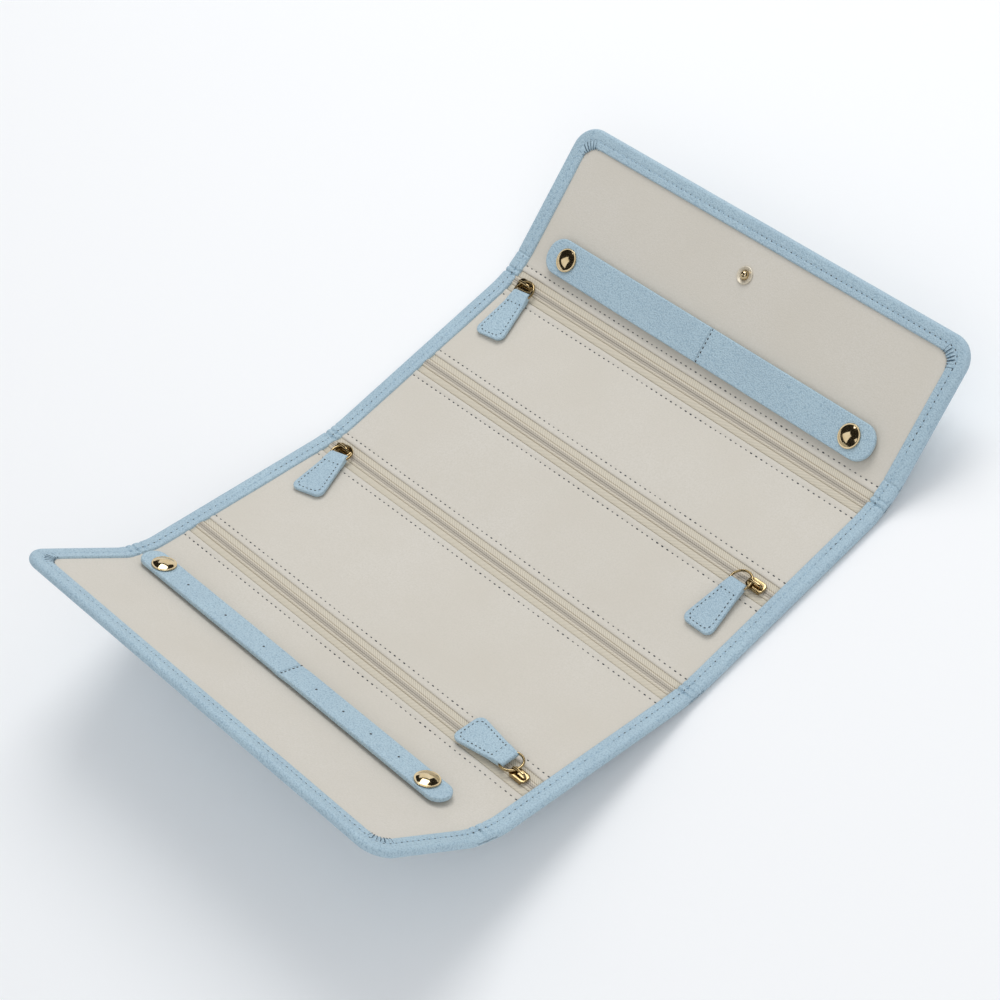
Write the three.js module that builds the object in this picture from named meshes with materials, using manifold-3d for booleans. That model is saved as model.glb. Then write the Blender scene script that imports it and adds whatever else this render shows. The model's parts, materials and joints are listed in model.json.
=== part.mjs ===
// Jewelry roll, opened out and lying on its base panel. Sizes are in millimetres and +Z is up.
// X runs along the zips. Y runs from the tuck flap over the lid and the base to the front flap.
// Places "along" the roll are measured on the lining from the middle of the base panel, and
// heights are measured from the top of the lining, so the same sheets can be laid round every bend.

import * as THREE from 'three';
import { mergeVertices } from 'three/addons/utils/BufferGeometryUtils.js';
import Module from 'manifold-3d';

const wasm = await Module();
wasm.setup();

// The roll opened flat: its width, and each section from fold line to fold line
const width = 250;
const tuckLength = 54;
const earringSpineLength = 16.5;
const baseLength = 125.5;
const lidShorterThanBase = 15;
const lidLength = baseLength - lidShorterThanBase;
const ringSpineAndFront = 69.9;
const cornerRadius = 12;

// How the roll lies open: the turn of each bend, and how far the bend reaches past its fold line
const earringTurn = THREE.MathUtils.degToRad(16.35);
const tuckTurn = THREE.MathUtils.degToRad(16.35);
const middleTurn = THREE.MathUtils.degToRad(15.2);
const ringTurn = THREE.MathUtils.degToRad(31.1);
const middleBendOnBase = 7.4;
const middleBendOnLid = 14.6;
const ringBendOnBase = 22.2;
const ringBendOnSpine = 3.8;
const earringBendOnLid = 4;
const earringBendOnSpine = 2.5;
const tuckBendOnSpine = 5;

// How the roll lies closed: the slope of the lid, the upright spine and the gap under the front flap
const lidSlope = THREE.MathUtils.degToRad(10.2);
const spineUpright = THREE.MathUtils.degToRad(112);
const closedGap = 3;

// Sheets, from the outside in
const coverThickness = 0.9;
const paddingThickness = 0.7;
const pocketBackThickness = 0.4;
const liningThickness = 0.5;
const layerGap = 0.25;
const turnedThickness = 0.9;
const turnedWidth = 9;
const edgeChamfer = 0.8;
const edgeClearance = 0.3;

// Fold lines: half the open gap between two stiff sections, and the height of each turning line
const foldHalfGap = 1.5;
const middleHalfGap = 2;
const foldClearance = 0.3;
const middlePivotHeight = 3;
const ringPivotHeight = 0.5;
const frontPivotHeight = 0.5;
const earringPivotHeight = 0;
const tuckPivotHeight = 0;

// Zips: the chain's distance from the fold line of its section, and its parts
const zip1FromRingFold = 12.9;
const zip2FromRingFold = 73;
const zip3FromMiddleFold = 8.5;
const zip4FromEarringFold = 24.4;
const bandHalfWidth = 6;
const coilWidth = 1.9;
const coilHeight = 1;
const chainHalfGap = 0.15;

// Sliders
const sliderLength = 10;
const sliderWidth = 5.8;
const sliderCornerRadius = 1.6;
const sliderPlateThickness = 1;
const sliderFlangeThickness = 0.8;
const sliderClearance = 0.3;
const sliderEndMargin = 9;
const crownReach = 4.2;
const crownPost = 0.7;
const crownWidth = 1.2;
const crownBar = 0.8;

// Pulls: a round ring, and a leather tab folded through it and sewn to itself
const wireRadius = 0.5;
const wireClearance = 0.3;
const ringRadius = 5.2;
const crossingX = -2.05;
const tabLength = 28.5;
const tabNarrowWidth = 8.8;
const tabWideWidth = 16.6;
const tabShoulder = 23.5;
const tabTipWidth = 7;
const tabThickness = 2;
const tabPastRing = 0.6;
const tabWall = 0.75;
const tabTaper = 3;
const tabRest = 0.6;
const sideTabRest = 1.6;
const pull1RingY = -2.9;
const pull2RingY = -2.6;
const pull3RingY = -2.9;
const pull4RingY = 1.9;
const pull1Turn = THREE.MathUtils.degToRad(8);
const pull2Turn = 0;
const pull3Turn = THREE.MathUtils.degToRad(16);
const pull4Turn = THREE.MathUtils.degToRad(-90);

// Straps with a press stud at each end, sewn down at their middle
const strapFromSide = 19.5;
const strapLength = width - 2 * strapFromSide;
const capFromStrapEnd = 13;
const strapCapSpacing = strapLength - 2 * capFromStrapEnd;
const strapLift = 1.6;
const strapMiddleGap = 0.2;
const strapFootLength = 3;
const strapFootWidth = 5;
const strapFootRise = 0.15;
const ringStrapWidth = 17.6;
const ringStrapThickness = 2.2;
const ringStrapEndRadius = 8.2;
const ringStrapFromFold = 8.6;
const earringStrapWidth = 12.5;
const earringStrapThickness = 2.4;
const earringStrapEndRadius = 6;
const earringStrapOffset = -6.5;
const earringHoleRadius = 0.6;
const earringHoleCount = 4;
const earringHolePitch = strapCapSpacing / 2 / (earringHoleCount + 1);

// Press studs
const capRadius = 5.8;
const capHeight = 1.9;
const capBarrelRadius = 3.1;
const capBarrelBelow = 0.3;
const studBaseRadius = 4.2;
const studBaseHeight = 0.55;
const studNeckRadius = 1.2;
const studBallRadius = 1.6;
const studClearance = 0.3;
const capBoreRadius = studBallRadius + studClearance;
const closureFromRingFold = 45.2;
const closureRimRadius = 4.3;
const closureRimHeight = 0.65;
const closureBallRadius = 2.2;
const closureShankRadius = 1.2;
const closureCapRadius = 6;
const closureCapHeight = 1.8;
const socketRadius = 4.6;
const socketHeight = 1.6;

// Fineness of round shapes, and one overrun for every cut
const turnStep = THREE.MathUtils.degToRad(4.5);
const roundSides = 20;
const smallSides = 12;
const wireSides = 6;
const ringSteps = 30;
const cornerSteps = 5;
const overrun = 1;

// Finishes
const blueLeather = new THREE.MeshStandardMaterial({ color: 0xa5c1d2, roughness: 0.6, metalness: 0 });
const creamLining = new THREE.MeshStandardMaterial({ color: 0xd2ccc3, roughness: 0.95, metalness: 0 });
const zipTape = new THREE.MeshStandardMaterial({ color: 0xc8beac, roughness: 0.85, metalness: 0 });
const stiffener = new THREE.MeshStandardMaterial({ color: 0xd8d8d4, roughness: 0.9, metalness: 0 });
const paleGold = new THREE.MeshStandardMaterial({ color: 0xd9b878, roughness: 0.25, metalness: 1 });

// Heights of the layers
const liningBottom = -liningThickness;
const pocketBackTop = liningBottom - layerGap;
const pocketBackBottom = pocketBackTop - pocketBackThickness;
const paddingTop = pocketBackBottom - layerGap;
const paddingBottom = paddingTop - paddingThickness;
const coverTop = paddingBottom - layerGap;
const coverBottom = coverTop - coverThickness;
const flapPaddingTop = pocketBackTop;
const turnedBottom = layerGap;
const turnedTop = turnedBottom + turnedThickness;
const sheetHalfWidth = width / 2 - turnedThickness - edgeClearance;
const openHalfWidth = width / 2 - turnedWidth;

// The turned-down line of the roll: the base is level, and each bend is an arc on the lining
const middleFold = -baseLength / 2;
const ringFold = baseLength / 2;
const earringFold = middleFold - lidLength;
const tuckFold = earringFold - earringSpineLength;
const zip1At = ringFold - zip1FromRingFold;
const zip2At = ringFold - zip2FromRingFold;
const zip3At = middleFold - zip3FromMiddleFold;
const zip4At = earringFold + zip4FromEarringFold;
const frontwardBends = [
  { start: ringFold - ringBendOnBase, end: ringFold + ringBendOnSpine, turn: ringTurn },
];
const tuckwardBends = [
  { start: -middleFold - middleBendOnBase, end: -middleFold + middleBendOnLid, turn: middleTurn },
  { start: -earringFold - earringBendOnLid, end: -earringFold + earringBendOnSpine, turn: earringTurn },
  { start: -tuckFold - tuckBendOnSpine, end: -tuckFold, turn: tuckTurn },
];

// The lining's place and slope at a distance along the roll
function liningAt(along) {
  const side = along < 0 ? -1 : 1;
  const bends = along < 0 ? tuckwardBends : frontwardBends;
  const reach = Math.abs(along);
  let walked = 0;
  let out = 0;
  let up = -coverBottom;
  let slope = 0;
  const goStraight = (length) => {
    out += length * Math.cos(slope);
    up += length * Math.sin(slope);
  };
  for (const { start, end, turn } of bends) {
    if (reach <= start) break;
    goStraight(start - walked);
    const radius = (end - start) / turn;
    const next = slope + (Math.min(reach, end) - start) / radius;
    out += radius * (Math.sin(next) - Math.sin(slope));
    up += radius * (Math.cos(slope) - Math.cos(next));
    slope = next;
    walked = Math.min(reach, end);
  }
  goStraight(reach - walked);
  return { y: side * out, z: up, slope: side * slope };
}

// A point at a height over the lining, in the Y-Z plane
function placeAt(along, height) {
  const { y, z, slope } = liningAt(along);
  return new THREE.Vector2(y - height * Math.sin(slope), z + height * Math.cos(slope));
}

// A frame that stands on the lining: x across the roll, y along it and z up from it
function frameAt(along, height = 0, x = 0, turn = 0) {
  const { x: y, y: z } = placeAt(along, height);
  const lie = new THREE.Matrix4().makeRotationX(liningAt(along).slope);
  const turned = new THREE.Matrix4().makeRotationZ(turn);
  return new THREE.Matrix4().makeTranslation(x, y, z).multiply(lie).multiply(turned);
}

// Distances at which a sheet needs a row of points to follow the bends
function stationsBetween(from, to) {
  const stations = [from];
  const bends = [
    ...tuckwardBends.map(({ start, end, turn }) => ({ low: -end, high: -start, turn })),
    ...frontwardBends.map(({ start, end, turn }) => ({ low: start, high: end, turn })),
  ];
  for (const { low, high, turn } of bends) {
    const steps = Math.ceil(turn / turnStep);
    for (let step = 0; step <= steps; step += 1) {
      const along = low + ((high - low) * step) / steps;
      if (along > from + layerGap && along < to - layerGap) stations.push(along);
    }
  }
  stations.push(to);
  return stations.sort((a, b) => a - b);
}

// Closed and open solids
function toSolid(geometry) {
  const bare = new THREE.BufferGeometry();
  bare.setAttribute('position', geometry.getAttribute('position'));
  bare.setIndex(geometry.getIndex());
  const merged = mergeVertices(bare);
  return new wasm.Manifold(new wasm.Mesh({
    numProp: 3,
    vertProperties: new Float32Array(merged.getAttribute('position').array),
    triVerts: new Uint32Array(merged.getIndex().array),
  }));
}

function toGeometry(solid) {
  const mesh = solid.getMesh();
  const geometry = new THREE.BufferGeometry();
  geometry.setAttribute('position', new THREE.BufferAttribute(new Float32Array(mesh.vertProperties), 3));
  geometry.setIndex(new THREE.BufferAttribute(new Uint32Array(mesh.triVerts), 1));
  geometry.computeVertexNormals();
  return geometry;
}

function cut(geometry, cutters) {
  let solid = toSolid(geometry);
  for (const cutter of cutters) solid = solid.subtract(toSolid(cutter));
  return toGeometry(solid);
}

function join(geometries) {
  let solid = toSolid(geometries[0]);
  for (const other of geometries.slice(1)) solid = solid.add(toSolid(other));
  return toGeometry(solid);
}

function overlapOf(first, second) {
  return toGeometry(toSolid(first).intersect(toSolid(second)));
}

// A sheet of even height that follows the lining, as an outline in Y-Z extruded across the roll
function sheet(from, to, low, high, halfWidth) {
  const stations = stationsBetween(from, to);
  const outline = [
    ...stations.map((along) => placeAt(along, low)),
    ...stations.toReversed().map((along) => placeAt(along, high)),
  ];
  return acrossRoll(outline, -halfWidth, halfWidth);
}

function acrossRoll(outline, fromX, toX) {
  const geometry = new THREE.ExtrudeGeometry(new THREE.Shape(outline), { depth: toX - fromX, bevelEnabled: false });
  const yAxis = new THREE.Vector3(0, 1, 0);
  const zAxis = new THREE.Vector3(0, 0, 1);
  const xAxis = new THREE.Vector3(1, 0, 0);
  geometry.applyMatrix4(new THREE.Matrix4().makeBasis(yAxis, zAxis, xAxis));
  return geometry.translate(fromX, 0, 0);
}

// An outline of [x, height] pairs carried along the lining
function carryAlong(outline, from, to) {
  const stations = stationsBetween(from, to);
  const count = outline.length;
  const positions = [];
  for (const along of stations) {
    for (const [x, height] of outline) {
      const { x: y, y: z } = placeAt(along, height);
      positions.push(x, y, z);
    }
  }
  const index = [];
  for (let row = 0; row < stations.length - 1; row += 1) {
    for (let i = 0; i < count; i += 1) {
      const j = (i + 1) % count;
      const a = row * count + i;
      const b = row * count + j;
      index.push(a, a + count, b, b, a + count, b + count);
    }
  }
  const points = outline.map(([x, height]) => new THREE.Vector2(x, height));
  const last = (stations.length - 1) * count;
  for (const [a, b, c] of THREE.ShapeUtils.triangulateShape(points, [])) {
    index.push(a, b, c);
    index.push(last + a, last + c, last + b);
  }
  const geometry = new THREE.BufferGeometry();
  geometry.setAttribute('position', new THREE.Float32BufferAttribute(positions, 3));
  geometry.setIndex(index);
  return geometry;
}

// A flat plate over an outline in x-y, from one height to another
function plate(shape, low, high, steps = cornerSteps) {
  const options = { depth: high - low, bevelEnabled: false, curveSegments: steps };
  return new THREE.ExtrudeGeometry(shape, options).translate(0, 0, low);
}

function block(sizeX, sizeY, low, high) {
  return new THREE.BoxGeometry(sizeX, sizeY, high - low).translate(0, 0, (low + high) / 2);
}

// A turned piece on the z axis, from a profile of [radius, height] pairs
function turned(profile, sides = roundSides) {
  const points = profile.map(([radius, height]) => new THREE.Vector2(radius, height));
  const geometry = new THREE.LatheGeometry(points, sides);
  return geometry.rotateX(Math.PI / 2);
}

function pin(radius, low, high, sides = smallSides) {
  return turned([[0, low], [radius, low], [radius, high], [0, high]], sides);
}

// A quarter or half round in a profile, from one angle to another
function arc(centreHeight, radius, fromAngle, toAngle, steps) {
  return Array.from({ length: steps + 1 }, (_, step) => {
    const angle = fromAngle + ((toAngle - fromAngle) * step) / steps;
    return [Math.max(0, radius * Math.cos(angle)), centreHeight + radius * Math.sin(angle)];
  });
}

// A rectangle with round corners, centred across and running from one y to another
function roundedShape(halfX, fromY, toY, radius) {
  const shape = new THREE.Shape();
  shape.moveTo(-halfX + radius, fromY);
  shape.lineTo(halfX - radius, fromY);
  shape.absarc(halfX - radius, fromY + radius, radius, -Math.PI / 2, 0);
  shape.absarc(halfX - radius, toY - radius, radius, 0, Math.PI / 2);
  shape.absarc(-halfX + radius, toY - radius, radius, Math.PI / 2, Math.PI);
  shape.absarc(-halfX + radius, fromY + radius, radius, Math.PI, 1.5 * Math.PI);
  return shape;
}

// The outline of an end flap: square at its fold and round at its two free corners
function flapShape(inset, fromY, length) {
  const half = width / 2 - inset;
  const end = length - inset;
  const radius = cornerRadius - inset;
  const shape = new THREE.Shape();
  shape.moveTo(-half, fromY);
  shape.lineTo(half, fromY);
  shape.absarc(half - radius, end - radius, radius, 0, Math.PI / 2);
  shape.absarc(-half + radius, end - radius, radius, Math.PI / 2, Math.PI);
  return shape;
}

// Bodies: each group stands on its joint, with its own x axis along the line that it turns about
const roll = new THREE.Group();

function movingBody(parent, name, frame) {
  const body = new THREE.Group();
  body.name = name;
  body.applyMatrix4(frame);
  roll.add(body);
  parent.attach(body);
  return body;
}

function addPiece(body, name, geometry, material, frame = new THREE.Matrix4()) {
  const mesh = new THREE.Mesh(geometry, material);
  mesh.name = name;
  mesh.applyMatrix4(frame);
  body.attach(mesh);
  return mesh;
}

// Turns a point of the Y-Z plane about another
function turnAbout(point, pivot, angle) {
  return point.clone().rotateAround(pivot, angle);
}

// The closed roll, worked out in the Y-Z plane
const lidCloses = Math.PI - middleTurn - lidSlope;
const spineCloses = spineUpright - ringTurn;
const frontCloses = Math.PI - spineUpright + lidSlope;
const middlePivot = placeAt(middleFold, middlePivotHeight);
const ringPivot = placeAt(ringFold, ringPivotHeight);

function closeWithLid(point) {
  return turnAbout(point, middlePivot, -lidCloses);
}

function openWithLid(point) {
  return turnAbout(point, middlePivot, lidCloses);
}

function closeWithFront(point, frontPivot) {
  const turnedPivot = turnAbout(frontPivot, ringPivot, spineCloses);
  return turnAbout(turnAbout(point, ringPivot, spineCloses), turnedPivot, frontCloses);
}

// The gap between the closed lid and the front flap, if the spine had this length
function frontGapWith(spineLength) {
  const fold = ringFold + spineLength;
  const onFront = closeWithFront(placeAt(fold, 0), placeAt(fold, frontPivotHeight));
  const onLid = closeWithLid(placeAt(zip4At, coverBottom));
  const upward = new THREE.Vector2(-Math.sin(lidSlope), Math.cos(lidSlope));
  return onFront.sub(onLid).dot(upward);
}

// The spine is as long as the closed roll is deep
const gapWithShortSpine = frontGapWith(cornerRadius);
const gapWithLongSpine = frontGapWith(2 * cornerRadius);
const gapPerLength = (gapWithLongSpine - gapWithShortSpine) / cornerRadius;
const ringSpineLength = cornerRadius + (closedGap - gapWithShortSpine) / gapPerLength;
const frontFold = ringFold + ringSpineLength;
const frontLength = ringSpineAndFront - ringSpineLength;
const closureAt = ringFold + closureFromRingFold;

// The socket on the lid sits where the front flap's stud arrives
function socketPlace() {
  const frontPivot = placeAt(frontFold, frontPivotHeight);
  const onLid = openWithLid(closeWithFront(placeAt(closureAt, closedGap), frontPivot));
  const { y, z, slope } = liningAt(zip4At);
  return zip4At + (onLid.x - y) * Math.cos(slope) + (onLid.y - z) * Math.sin(slope);
}

const base = roll;
const lid = movingBody(base, 'lid_panel', frameAt(middleFold, middlePivotHeight));
const earringSpine = movingBody(lid, 'earring_spine', frameAt(earringFold, earringPivotHeight));
const tuck = movingBody(earringSpine, 'tuck_flap', frameAt(tuckFold, tuckPivotHeight));
const ringSpine = movingBody(base, 'ring_spine', frameAt(ringFold, ringPivotHeight));
const front = movingBody(ringSpine, 'front_flap', frameAt(frontFold, frontPivotHeight));

// Leather cover of a middle section: one sheet whose two side edges are turned over the lining
function turnedEdgeOutline() {
  const half = width / 2;
  const right = [
    [half - edgeChamfer, coverBottom],
    [half, coverBottom + edgeChamfer],
    [half, turnedTop - edgeChamfer],
    [half - edgeChamfer, turnedTop],
    [openHalfWidth, turnedTop],
    [openHalfWidth, turnedBottom],
    [half - turnedThickness, turnedBottom],
    [half - turnedThickness, coverTop],
  ];
  const left = right.toReversed().map(([x, height]) => [-x, height]);
  return [...right, ...left];
}

function addSectionCover(body, name, from, to, cutters = []) {
  const cover = carryAlong(turnedEdgeOutline(), from, to);
  addPiece(body, name, cutters.length ? cut(cover, cutters) : cover, blueLeather);
}

// Leather cover of an end flap: turned over along its sides, round its corners and along its end
function flapCover(length, holes = []) {
  const body = plate(flapShape(0, foldHalfGap, length), coverBottom, turnedTop);
  const hollow = plate(flapShape(turnedThickness, -overrun, length), coverTop, turnedBottom);
  const window = plate(flapShape(turnedWidth, -overrun, length), liningBottom, turnedTop + overrun);
  return cut(body, [hollow, window, ...holes]);
}

function flapSheet(length, low, high, holes = []) {
  const solid = plate(flapShape(turnedThickness + edgeClearance, foldHalfGap, length), low, high);
  return holes.length ? cut(solid, holes) : solid;
}

function placed(geometry, frame) {
  return geometry.clone().applyMatrix4(frame);
}

// The soft stretch of leather and lining at a fold
function addFold(body, name, fold, halfGap) {
  const reach = halfGap - foldClearance;
  const low = coverBottom + foldClearance;
  addPiece(body, name, sheet(fold - reach, fold + reach, low, 0, width / 2 - edgeClearance), blueLeather);
}

// Base panel
const baseFrom = middleFold + middleHalfGap;
const baseTo = ringFold - foldHalfGap;
const lidFrom = earringFold + foldHalfGap;
const lidTo = middleFold - middleHalfGap;

addSectionCover(base, 'base_cover', baseFrom, baseTo);
addPiece(base, 'base_padding', sheet(baseFrom, baseTo, paddingBottom, paddingTop, sheetHalfWidth), stiffener);
addPiece(
  base, 'base_pocket_back',
  sheet(baseFrom, baseTo, pocketBackBottom, pocketBackTop, sheetHalfWidth), creamLining,
);
addLining(base, 'base_lower_lining', baseFrom, zip2At - bandHalfWidth - layerGap);
addLining(base, 'base_upper_lining', zip2At + bandHalfWidth + layerGap, zip1At - bandHalfWidth - layerGap);

function addLining(body, name, from, to) {
  addPiece(body, name, sheet(from, to, liningBottom, 0, sheetHalfWidth), creamLining);
}

// Lid panel, with the socket that takes the front flap's stud on its outside
const socketAt = socketPlace();
const socketFrame = turnedFrame(frameAt(zip4At), 0, socketAt - zip4At, 0, 0);
const socketHole = placed(pin(closureShankRadius, coverBottom - overrun, flapPaddingTop), socketFrame);

addSectionCover(lid, 'lid_cover', lidFrom, lidTo, [socketHole]);
addPiece(lid, 'lid_padding', sheet(lidFrom, lidTo, paddingBottom, paddingTop, sheetHalfWidth), stiffener);
addPiece(
  lid, 'lid_pocket_back',
  sheet(lidFrom, lidTo, pocketBackBottom, pocketBackTop, sheetHalfWidth), creamLining,
);
addLining(lid, 'lid_lower_lining', lidFrom, zip4At - bandHalfWidth - layerGap);
addLining(lid, 'lid_upper_lining', zip4At + bandHalfWidth + layerGap, zip3At - bandHalfWidth - layerGap);

const socketTop = coverBottom - layerGap;
const socketBore = closureBallRadius + studClearance;
addPiece(lid, 'closure_socket', turned([
  [socketBore, socketTop - socketHeight],
  [socketRadius - edgeChamfer, socketTop - socketHeight],
  [socketRadius, socketTop - socketHeight + edgeChamfer],
  [socketRadius, socketTop],
  [socketBore, socketTop],
  [socketBore, socketTop - socketHeight],
]), paleGold, socketFrame);

// The two narrow spines carry the straps, and their lining is backed to the cover
function addSpine(body, name, from, to) {
  addSectionCover(body, `${name}_cover`, from, to);
  addPiece(
    body, `${name}_lining`,
    sheet(from, to, coverTop + layerGap, 0, sheetHalfWidth), creamLining,
  );
}

addSpine(earringSpine, 'earring_spine', tuckFold + foldHalfGap, earringFold - foldHalfGap);
addSpine(ringSpine, 'ring_spine', ringFold + foldHalfGap, frontFold - foldHalfGap);

// Tuck flap
const tuckFrame = frameAt(tuckFold, 0, 0, Math.PI);
addPiece(tuck, 'tuck_cover', flapCover(tuckLength), blueLeather, tuckFrame);
addPiece(tuck, 'tuck_padding', flapSheet(tuckLength, paddingBottom, flapPaddingTop), stiffener, tuckFrame);
addPiece(tuck, 'tuck_lining', flapSheet(tuckLength, liningBottom, 0), creamLining, tuckFrame);

// Front flap, with the stud that passes through its three sheets to the cap outside
const frontFrame = frameAt(frontFold);
const shankHole = pin(closureShankRadius + studClearance, coverBottom - overrun, overrun)
  .translate(0, closureAt - frontFold, 0);
addPiece(front, 'front_cover', flapCover(frontLength, [shankHole]), blueLeather, frontFrame);
addPiece(
  front, 'front_padding',
  flapSheet(frontLength, paddingBottom, flapPaddingTop, [shankHole]), stiffener, frontFrame,
);
addPiece(front, 'front_lining', flapSheet(frontLength, liningBottom, 0, [shankHole]), creamLining, frontFrame);

const closureFrame = frameAt(closureAt);
const closureBallCentre = closedGap - studClearance - closureBallRadius;
const closureRecess = layerGap + closureRimHeight / 2;
const closureBallFoot = Math.asin((closureRecess - closureBallCentre) / closureBallRadius);
addPiece(front, 'closure_stud', turned([
  [0, coverBottom],
  [closureShankRadius, coverBottom],
  [closureShankRadius, layerGap],
  [closureRimRadius, layerGap],
  [closureRimRadius, layerGap + closureRimHeight],
  [closureRimRadius - closureRimHeight, layerGap + closureRimHeight],
  ...arc(closureBallCentre, closureBallRadius, closureBallFoot, Math.PI / 2, cornerSteps),
]), paleGold, closureFrame);
addPiece(
  front, 'closure_cap',
  turned(domeProfile(closureCapRadius, closureCapHeight, 0)).rotateX(Math.PI)
    .translate(0, 0, coverBottom - layerGap),
  paleGold, closureFrame,
);

// A low dome over a flat base at a height
function domeProfile(radius, height, bottom) {
  const sphere = (radius * radius + height * height) / (2 * height);
  const edgeAngle = Math.asin((sphere - height) / sphere);
  const dome = arc(bottom + height - sphere, sphere, edgeAngle, Math.PI / 2, cornerSteps);
  return [[0, bottom], ...dome];
}

// Fold leathers
addFold(earringSpine, 'tuck_fold', tuckFold, foldHalfGap);
addFold(lid, 'earring_fold', earringFold, foldHalfGap);
addFold(base, 'middle_fold', middleFold, middleHalfGap);
addFold(base, 'ring_fold', ringFold, foldHalfGap);
addFold(ringSpine, 'front_fold', frontFold, foldHalfGap);

// Half of a zip: a woven tape with one row of the coil along its inner edge
function zipHalf(zipAt, side, tapeReach) {
  const inner = zipAt + side * chainHalfGap;
  const outer = zipAt + side * tapeReach;
  const coilOuter = zipAt + side * (chainHalfGap + coilWidth);
  const [from, to] = side < 0 ? [outer, inner] : [inner, outer];
  const [coilFrom, coilTo] = side < 0 ? [coilOuter, inner] : [inner, coilOuter];
  const tape = sheet(from, to, liningBottom, 0, sheetHalfWidth);
  const coil = sheet(coilFrom, coilTo, liningBottom / 2, coilHeight, openHalfWidth - edgeClearance);
  return join([tape, coil]);
}

// The slider's crown is an arch along the chain, and the wire of the pull's ring passes under it
const plateLow = coilHeight + sliderClearance;
const plateHigh = plateLow + sliderPlateThickness;
const wireHeight = plateHigh + wireClearance + wireRadius;
const crownLow = wireHeight + wireRadius + wireClearance;
const crownHigh = crownLow + crownBar;

function sliderBody() {
  const half = sliderWidth / 2;
  const top = plate(roundedShape(sliderLength / 2, -half, half, sliderCornerRadius), plateLow, plateHigh);
  const flangeLength = sliderLength - 2 * sliderCornerRadius;
  const flanges = [-1, 1].map((side) => {
    const flange = block(flangeLength, sliderFlangeThickness, sliderClearance, plateLow + sliderClearance);
    return flange.translate(0, side * (half - sliderFlangeThickness / 2), 0);
  });
  const chamfer = crownReach - crownPost;
  const arch = new THREE.Shape([
    new THREE.Vector2(-crownReach, plateLow + sliderClearance),
    new THREE.Vector2(crownReach, plateLow + sliderClearance),
    new THREE.Vector2(crownReach, crownLow),
    new THREE.Vector2(chamfer, crownHigh),
    new THREE.Vector2(-chamfer, crownHigh),
    new THREE.Vector2(-crownReach, crownLow),
  ]);
  const crown = plate(arch, -crownWidth / 2, crownWidth / 2).rotateX(Math.PI / 2);
  const opening = block(2 * (crownReach - crownPost), crownWidth + overrun, plateHigh, crownLow);
  return join([top, ...flanges, cut(crown, [opening])]);
}

// A closed wire, round in section, along a flat closed outline
function wireLoop(outline, radius, steps) {
  const points = outline.getSpacedPoints(steps).slice(0, steps);
  const positions = [];
  const index = [];
  points.forEach((point, i) => {
    const before = points[(i + steps - 1) % steps];
    const after = points[(i + 1) % steps];
    const along = after.clone().sub(before).normalize();
    for (let side = 0; side < wireSides; side += 1) {
      const angle = (2 * Math.PI * side) / wireSides;
      const aside = radius * Math.cos(angle);
      positions.push(point.x + along.y * aside, point.y - along.x * aside, radius * Math.sin(angle));
      const next = (side + 1) % wireSides;
      const row = i * wireSides;
      const nextRow = ((i + 1) % steps) * wireSides;
      index.push(row + side, nextRow + side, row + next);
      index.push(row + next, nextRow + side, nextRow + next);
    }
  });
  const geometry = new THREE.BufferGeometry();
  geometry.setAttribute('position', new THREE.Float32BufferAttribute(positions, 3));
  geometry.setIndex(index);
  return geometry;
}

// The ring lies flat round its own centre
function pullRing() {
  const circle = new THREE.EllipseCurve(0, 0, ringRadius, ringRadius);
  return wireLoop(circle, wireRadius, ringSteps);
}

// The tab leads along -y from its fold, which passes inside the ring, and its end is lifted or let down
function pullTab(lift) {
  const slotHalf = wireRadius + wireClearance;
  const foldHalf = slotHalf + tabWall;
  const bladeHalf = tabThickness / 2;
  const slotEnd = ringRadius + wireRadius + wireClearance;
  const taperEnd = slotEnd + tabTaper;
  const end = tabPastRing + tabLength;
  const taperLift = (lift * tabTaper) / (end - slotEnd);
  const side = new THREE.Shape([
    new THREE.Vector2(tabPastRing, -slotHalf),
    new THREE.Vector2(tabPastRing + tabWall, -foldHalf),
    new THREE.Vector2(slotEnd, -foldHalf),
    new THREE.Vector2(taperEnd, taperLift - bladeHalf),
    new THREE.Vector2(end, lift - bladeHalf),
    new THREE.Vector2(end, lift + bladeHalf),
    new THREE.Vector2(taperEnd, taperLift + bladeHalf),
    new THREE.Vector2(slotEnd, foldHalf),
    new THREE.Vector2(tabPastRing + tabWall, foldHalf),
    new THREE.Vector2(tabPastRing, slotHalf),
  ]);
  const strip = plate(side, -tabWideWidth, tabWideWidth);
  const alongY = new THREE.Matrix4().makeBasis(
    new THREE.Vector3(0, -1, 0),
    new THREE.Vector3(0, 0, 1),
    new THREE.Vector3(-1, 0, 0),
  );
  strip.applyMatrix4(alongY);
  const narrow = tabNarrowWidth / 2;
  const wide = tabWideWidth / 2;
  const tip = tabTipWidth / 2;
  const shape = new THREE.Shape();
  shape.moveTo(narrow, -tabPastRing);
  shape.lineTo(-narrow, -tabPastRing);
  shape.lineTo(-wide, -tabShoulder);
  shape.quadraticCurveTo(-wide, -end, -tip, -end);
  shape.lineTo(tip, -end);
  shape.quadraticCurveTo(wide, -end, wide, -tabShoulder);
  const outline = plate(shape, Math.min(lift, 0) - foldHalf, Math.max(lift, 0) + foldHalf);
  const slotFrom = tabPastRing + tabWall;
  const slot = block(2 * tabWideWidth, slotEnd - slotFrom, -slotHalf, slotHalf);
  slot.translate(0, -(slotFrom + slotEnd) / 2, 0);
  return cut(overlapOf(strip, outline), [slot]);
}

// How high the lining stands, at a distance, over the level of the lining at a place
function liningSeenFrom(along, distance) {
  const { y, z, slope } = liningAt(along);
  const there = liningAt(along + distance);
  return (there.z - z) * Math.cos(slope) - (there.y - y) * Math.sin(slope);
}

// A frame on the lining at a place, turned about its own upward line
function turnedFrame(frame, x, y, z, turn) {
  const move = new THREE.Matrix4().makeTranslation(x, y, z);
  return frame.clone().multiply(move).multiply(new THREE.Matrix4().makeRotationZ(turn));
}

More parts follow.
